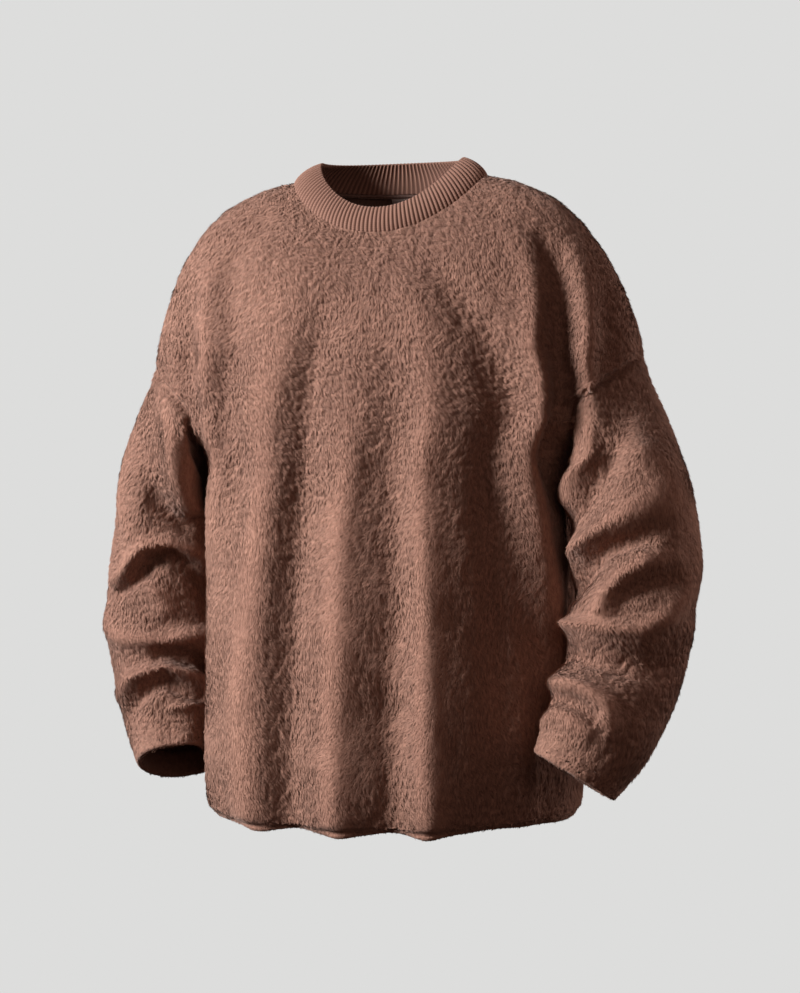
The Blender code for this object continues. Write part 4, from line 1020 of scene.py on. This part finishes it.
def stitches(line, facing, pitch, length, radius):
    """A row of short raised threads along a line: joined small tubes."""
    run = run_along(line)
    turns = np.linspace(0, 2 * math.pi, 6, endpoint=False)
    points, faces = [], []
    for start in np.arange(pitch / 2, run[-1] - length, pitch):
        faces.append(len(points) + grid_faces(6, 6, True))
        for t in np.linspace(0, 1, 6):
            at = start + length * t
            here, ahead, out = read_at(at, run, line), read_at(at + 1e-4, run, line), read_at(at, run, facing)
            side = np.cross(out, unit(ahead - here))
            lift = radius * (1.4 * math.sin(math.pi * t) - 0.5)
            points += [here + out * (lift + radius * math.sin(turn)) + side * radius * math.cos(turn)
                       for turn in turns]
    return np.array(points), np.vstack(faces)


def dress_neck(nets, normals):
    """The ribbed neckband, the tape and label inside the back neck, and their stitches."""
    points, faces, uv, shade = neck_rib(nets, normals)
    rib = add_mesh("ribbed_neckband", points, faces, rib_look(), shade=shade, uv=uv)
    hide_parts("neck_rib")
    step = 8
    below = slice(-8 * FINE, None)
    inward = -normals[1][below, ::step]
    lining = nets[1].points[below, ::step] + inward * (PILE_WALL + LINING_GAP)
    foot = TAPE_DROP + TAPE_HEIGHT
    near, far, facing = lining_strip(lining[:, 1:-1], inward[:, 1:-1], np.linspace(foot, TAPE_DROP, 5), None,
                                     TAPE_LIFT, TAPE_WALL)
    tape = add_mesh("woven_neck_tape", *closed_strip(near, far),
                    woven_look("woven_tape", (0.15, 0.065, 0.046), 260.0, 0.0003))
    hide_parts("neck_tape")
    upwards = unit(far[1] - far[0])
    sewn = [stitches(far[0] + upwards * TAPE_SEAM, facing[0], *TAPE_STITCH),
            stitches(far[-1] - upwards * TAPE_SEAM, facing[-1], *TAPE_STITCH)]
    across = np.linspace(LABEL_WIDTH / 2, -LABEL_WIDTH / 2, 25)
    top = foot + LINING_GAP
    near, far, facing = lining_strip(lining, inward, np.linspace(top + LABEL_HEIGHT, top, 17), across,
                                     LABEL_LIFT, LABEL_WALL)
    label = add_mesh("blank_label", *closed_strip(near, far),
                     woven_look("label_satin", (0.62, 0.50, 0.48), 420.0, 0.0002))
    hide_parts("neck_label")
    sewn += [stitches(far[:, column], facing[:, column], *LABEL_STITCH) for column in (1, -2)]
    starts = np.cumsum([0] + [len(some) for some, _ in sewn])
    thread = add_mesh("neck_stitches", np.vstack([some for some, _ in sewn]),
                      np.vstack([these + start for (_, these), start in zip(sewn, starts)]), thread_look())


def clumped_skins(nets, normals, rises):
    """The pile's surface over each net, how close to a clump's rim each point is, and how flat it lies."""
    skins, rims, flats = [], [], []
    for net, normal, seam, rise in zip(nets, normals, seam_relief(nets), rises):
        clump, rim = pile_clumps(net.points)
        flat = smooth(rise / RIDGE_RISE)
        rough = 1 - 0.65 * flat + 0.45 * smooth(-rise / RIDGE_RISE)
        height = seam - PILE_DEPTH + CLUMP_RISE * clump * rough
        skins.append(net._replace(points=net.points + normal * height[:, :, None]))
        rims.append(rim * (1 - 0.35 * flat))
        flats.append(flat)
    return skins, rims, flats


def dress_cloth():
    """The front, back and sleeves: outside, turned edges, inside and pile."""
    nets, rises = garment_nets()
    plain = shared_normals(nets)
    skins, rims, flats = clumped_skins(nets, plain, rises)
    facing = shared_normals(skins)
    eased = shared_normals(nets, easing=8)
    step = 4
    coarse = [net._replace(points=net.points[::step, ::step]) for net in nets]
    coarse_normals = shared_normals(coarse, easing=3)
    look = fleece_look("fleece_base", 0.0012)
    pile = fleece_look("fleece_pile", 0)
    inside_look = knit_look("fleece_inside", toned(FLEECE, 0.62), 520.0, 0.0008)
    made = {}
    for k, (name, full_count) in enumerate(TUFTS_PER_PIECE.items()):
        net, skin, flat = nets[k], skins[k].points, flats[k]
        turned = turned_edge(net, eased[k])
        points = np.concatenate([skin, turned] if net.closed else [turned[::-1], skin])
        whole = Net(points, None, None, net.closed, net.turn)
        normals = shared_normals([whole])[0]
        span = slice(0, len(skin)) if net.closed else slice(len(turned), None)
        normals[span] = facing[k]
        # Painted shade: the turned edge as dark as a tuft's root, and the skin below the tufts darker at clump
        # rims.
        shade = np.full(points.shape[:2], FOOT_SHADE)
        shade[span] = SKIN_SHADE - RIM_SHADE * smooth((rims[k] - 0.45) / 0.5)
        outer = add_mesh("cloth_" + name, points, net_faces(whole), look, shade=shade.reshape(-1, 1),
                         normals=normals)
        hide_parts(name)
        lining = coarse[k].points - coarse_normals[k] * PILE_WALL
        inner = add_mesh("inside_" + name, lining, net_faces(coarse[k])[:, ::-1], inside_look)
        # The pile also covers the first rows of the turned edge, and goes once round a sleeve.
        if net.closed:
            rows, edge_row = slice(0, len(skin) + PILE_EDGE), len(skin) - 1
            flat = np.concatenate([flat, np.repeat(flat[-1:], PILE_EDGE, axis=0)])
        else:
            rows, edge_row = slice(len(turned) - PILE_EDGE, None), PILE_EDGE
            flat = np.concatenate([np.repeat(flat[:1], PILE_EDGE, axis=0), flat])
        fields = [points[rows], normals[rows], flat]
        if net.closed:
            fields = [np.concatenate([field, field[:, :1]], axis=1) for field in fields]
        from_edge = np.abs(np.arange(len(flat)) - edge_row) / FINE
        trim = EDGE_TRIM + (1 - EDGE_TRIM) * smooth(from_edge / 2.5)
        count = full_count // 1
        corners, turns, shades = tufts(*fields, trim, count, TUFT_SEED + 10 * k)
        fur = add_mesh("pile_" + name, corners, np.arange(count * 3).reshape(-1, 3), pile,
                       shade=shades.reshape(-1, 1), normals=turns)
        made[name] = (outer, inner, fur)
    return nets, plain, made


FLOOR_HEIGHT = -1.5
BACKDROP = (0.723, 0.723, 0.716)
AMBIENT = 0.045
AMBIENT_COLOUR = (1.0, 0.60, 0.48)
CAMERA_AZIMUTH = math.radians(17)
CAMERA_REACH = 2.6
CAMERA_LENS = 88.1        # millimetres, on a sensor 36 wide
AIM_HEIGHT = -0.340
AIM_SIDEWAYS = 0.0064     # the camera's aim lies this far to the right of the origin
# Each light: name, distance sideways, towards the camera and above the aim, size, watts, colour.
LIGHTS = (
    ("key", -2.68, 0.96, 1.05, 1.3, 250.0, (1.0, 0.99, 0.985)),
    ("fill", 0.8, 2.7, 0.8, 1.8, 12.0, (1.0, 0.74, 0.64)),
    ("rim", 2.6, -0.7, 0.9, 1.2, 36.0, (1.0, 0.80, 0.72)),
    ("top", -0.6, -1.4, 2.0, 1.4, 22.0, (1.0, 0.93, 0.90)),
)


def aim(holder, place, target):
    """Put a light or the camera at a place, turned to the target."""
    holder.location = place
    holder.rotation_euler = (target - holder.location).to_track_quat("-Z", "Y").to_euler()


def studio():
    """Floor, lights and camera."""
    scene = bpy.context.scene
    scene.view_settings.view_transform = "Standard"
    pale = Nodes("pale_floor")
    pale.surface(colour=(0, 0, 0), shine=0, glow=BACKDROP, glow_strength=1.0, rough=1.0)
    mesh = bpy.data.meshes.new("floor")
    corners = [(x, y, FLOOR_HEIGHT) for x, y in ((-9, -9), (9, -9), (9, 9), (-9, 9))]
    mesh.from_pydata(corners, [], [(0, 1, 2, 3)])
    mesh.materials.append(pale.look)
    floor = stand("floor", mesh)
    floor.visible_diffuse = False
    floor.visible_glossy = False

    world = bpy.data.worlds.new("studio")
    scene.world = world
    world.use_nodes = True
    tree = world.node_tree
    tree.nodes.clear()
    seen, soft, path, mixed, out = (tree.nodes.new("ShaderNode" + kind) for kind in (
        "Background", "Background", "LightPath", "MixShader", "OutputWorld"))
    seen.inputs["Color"].default_value = (*BACKDROP, 1)
    soft.inputs["Color"].default_value = (*AMBIENT_COLOUR, 1)
    soft.inputs["Strength"].default_value = AMBIENT
    tree.links.new(path.outputs["Is Camera Ray"], mixed.inputs["Fac"])
    tree.links.new(soft.outputs[0], mixed.inputs[1])
    tree.links.new(seen.outputs[0], mixed.inputs[2])
    tree.links.new(mixed.outputs[0], out.inputs["Surface"])

    back = Vector((math.sin(CAMERA_AZIMUTH), -math.cos(CAMERA_AZIMUTH), 0))
    right = Vector((math.cos(CAMERA_AZIMUTH), math.sin(CAMERA_AZIMUTH), 0))
    target = Vector((0, 0, AIM_HEIGHT)) + right * AIM_SIDEWAYS
    for name, sideways, towards, above, size, watts, colour in LIGHTS:
        lamp = bpy.data.lights.new(name, "AREA")
        lamp.shape = "DISK"
        lamp.size = size
        lamp.energy = watts
        lamp.color = colour
        aim(stand(name, lamp), target + right * sideways + back * towards + Vector((0, 0, above)), target)
    lens = bpy.data.cameras.new("camera")
    lens.sensor_width = 36
    lens.lens = CAMERA_LENS
    scene.camera = stand("camera", lens)
    aim(scene.camera, target + back * CAMERA_REACH, target)


studio()
nets, outwards, cloth = dress_cloth()
dress_neck(nets, outwards)
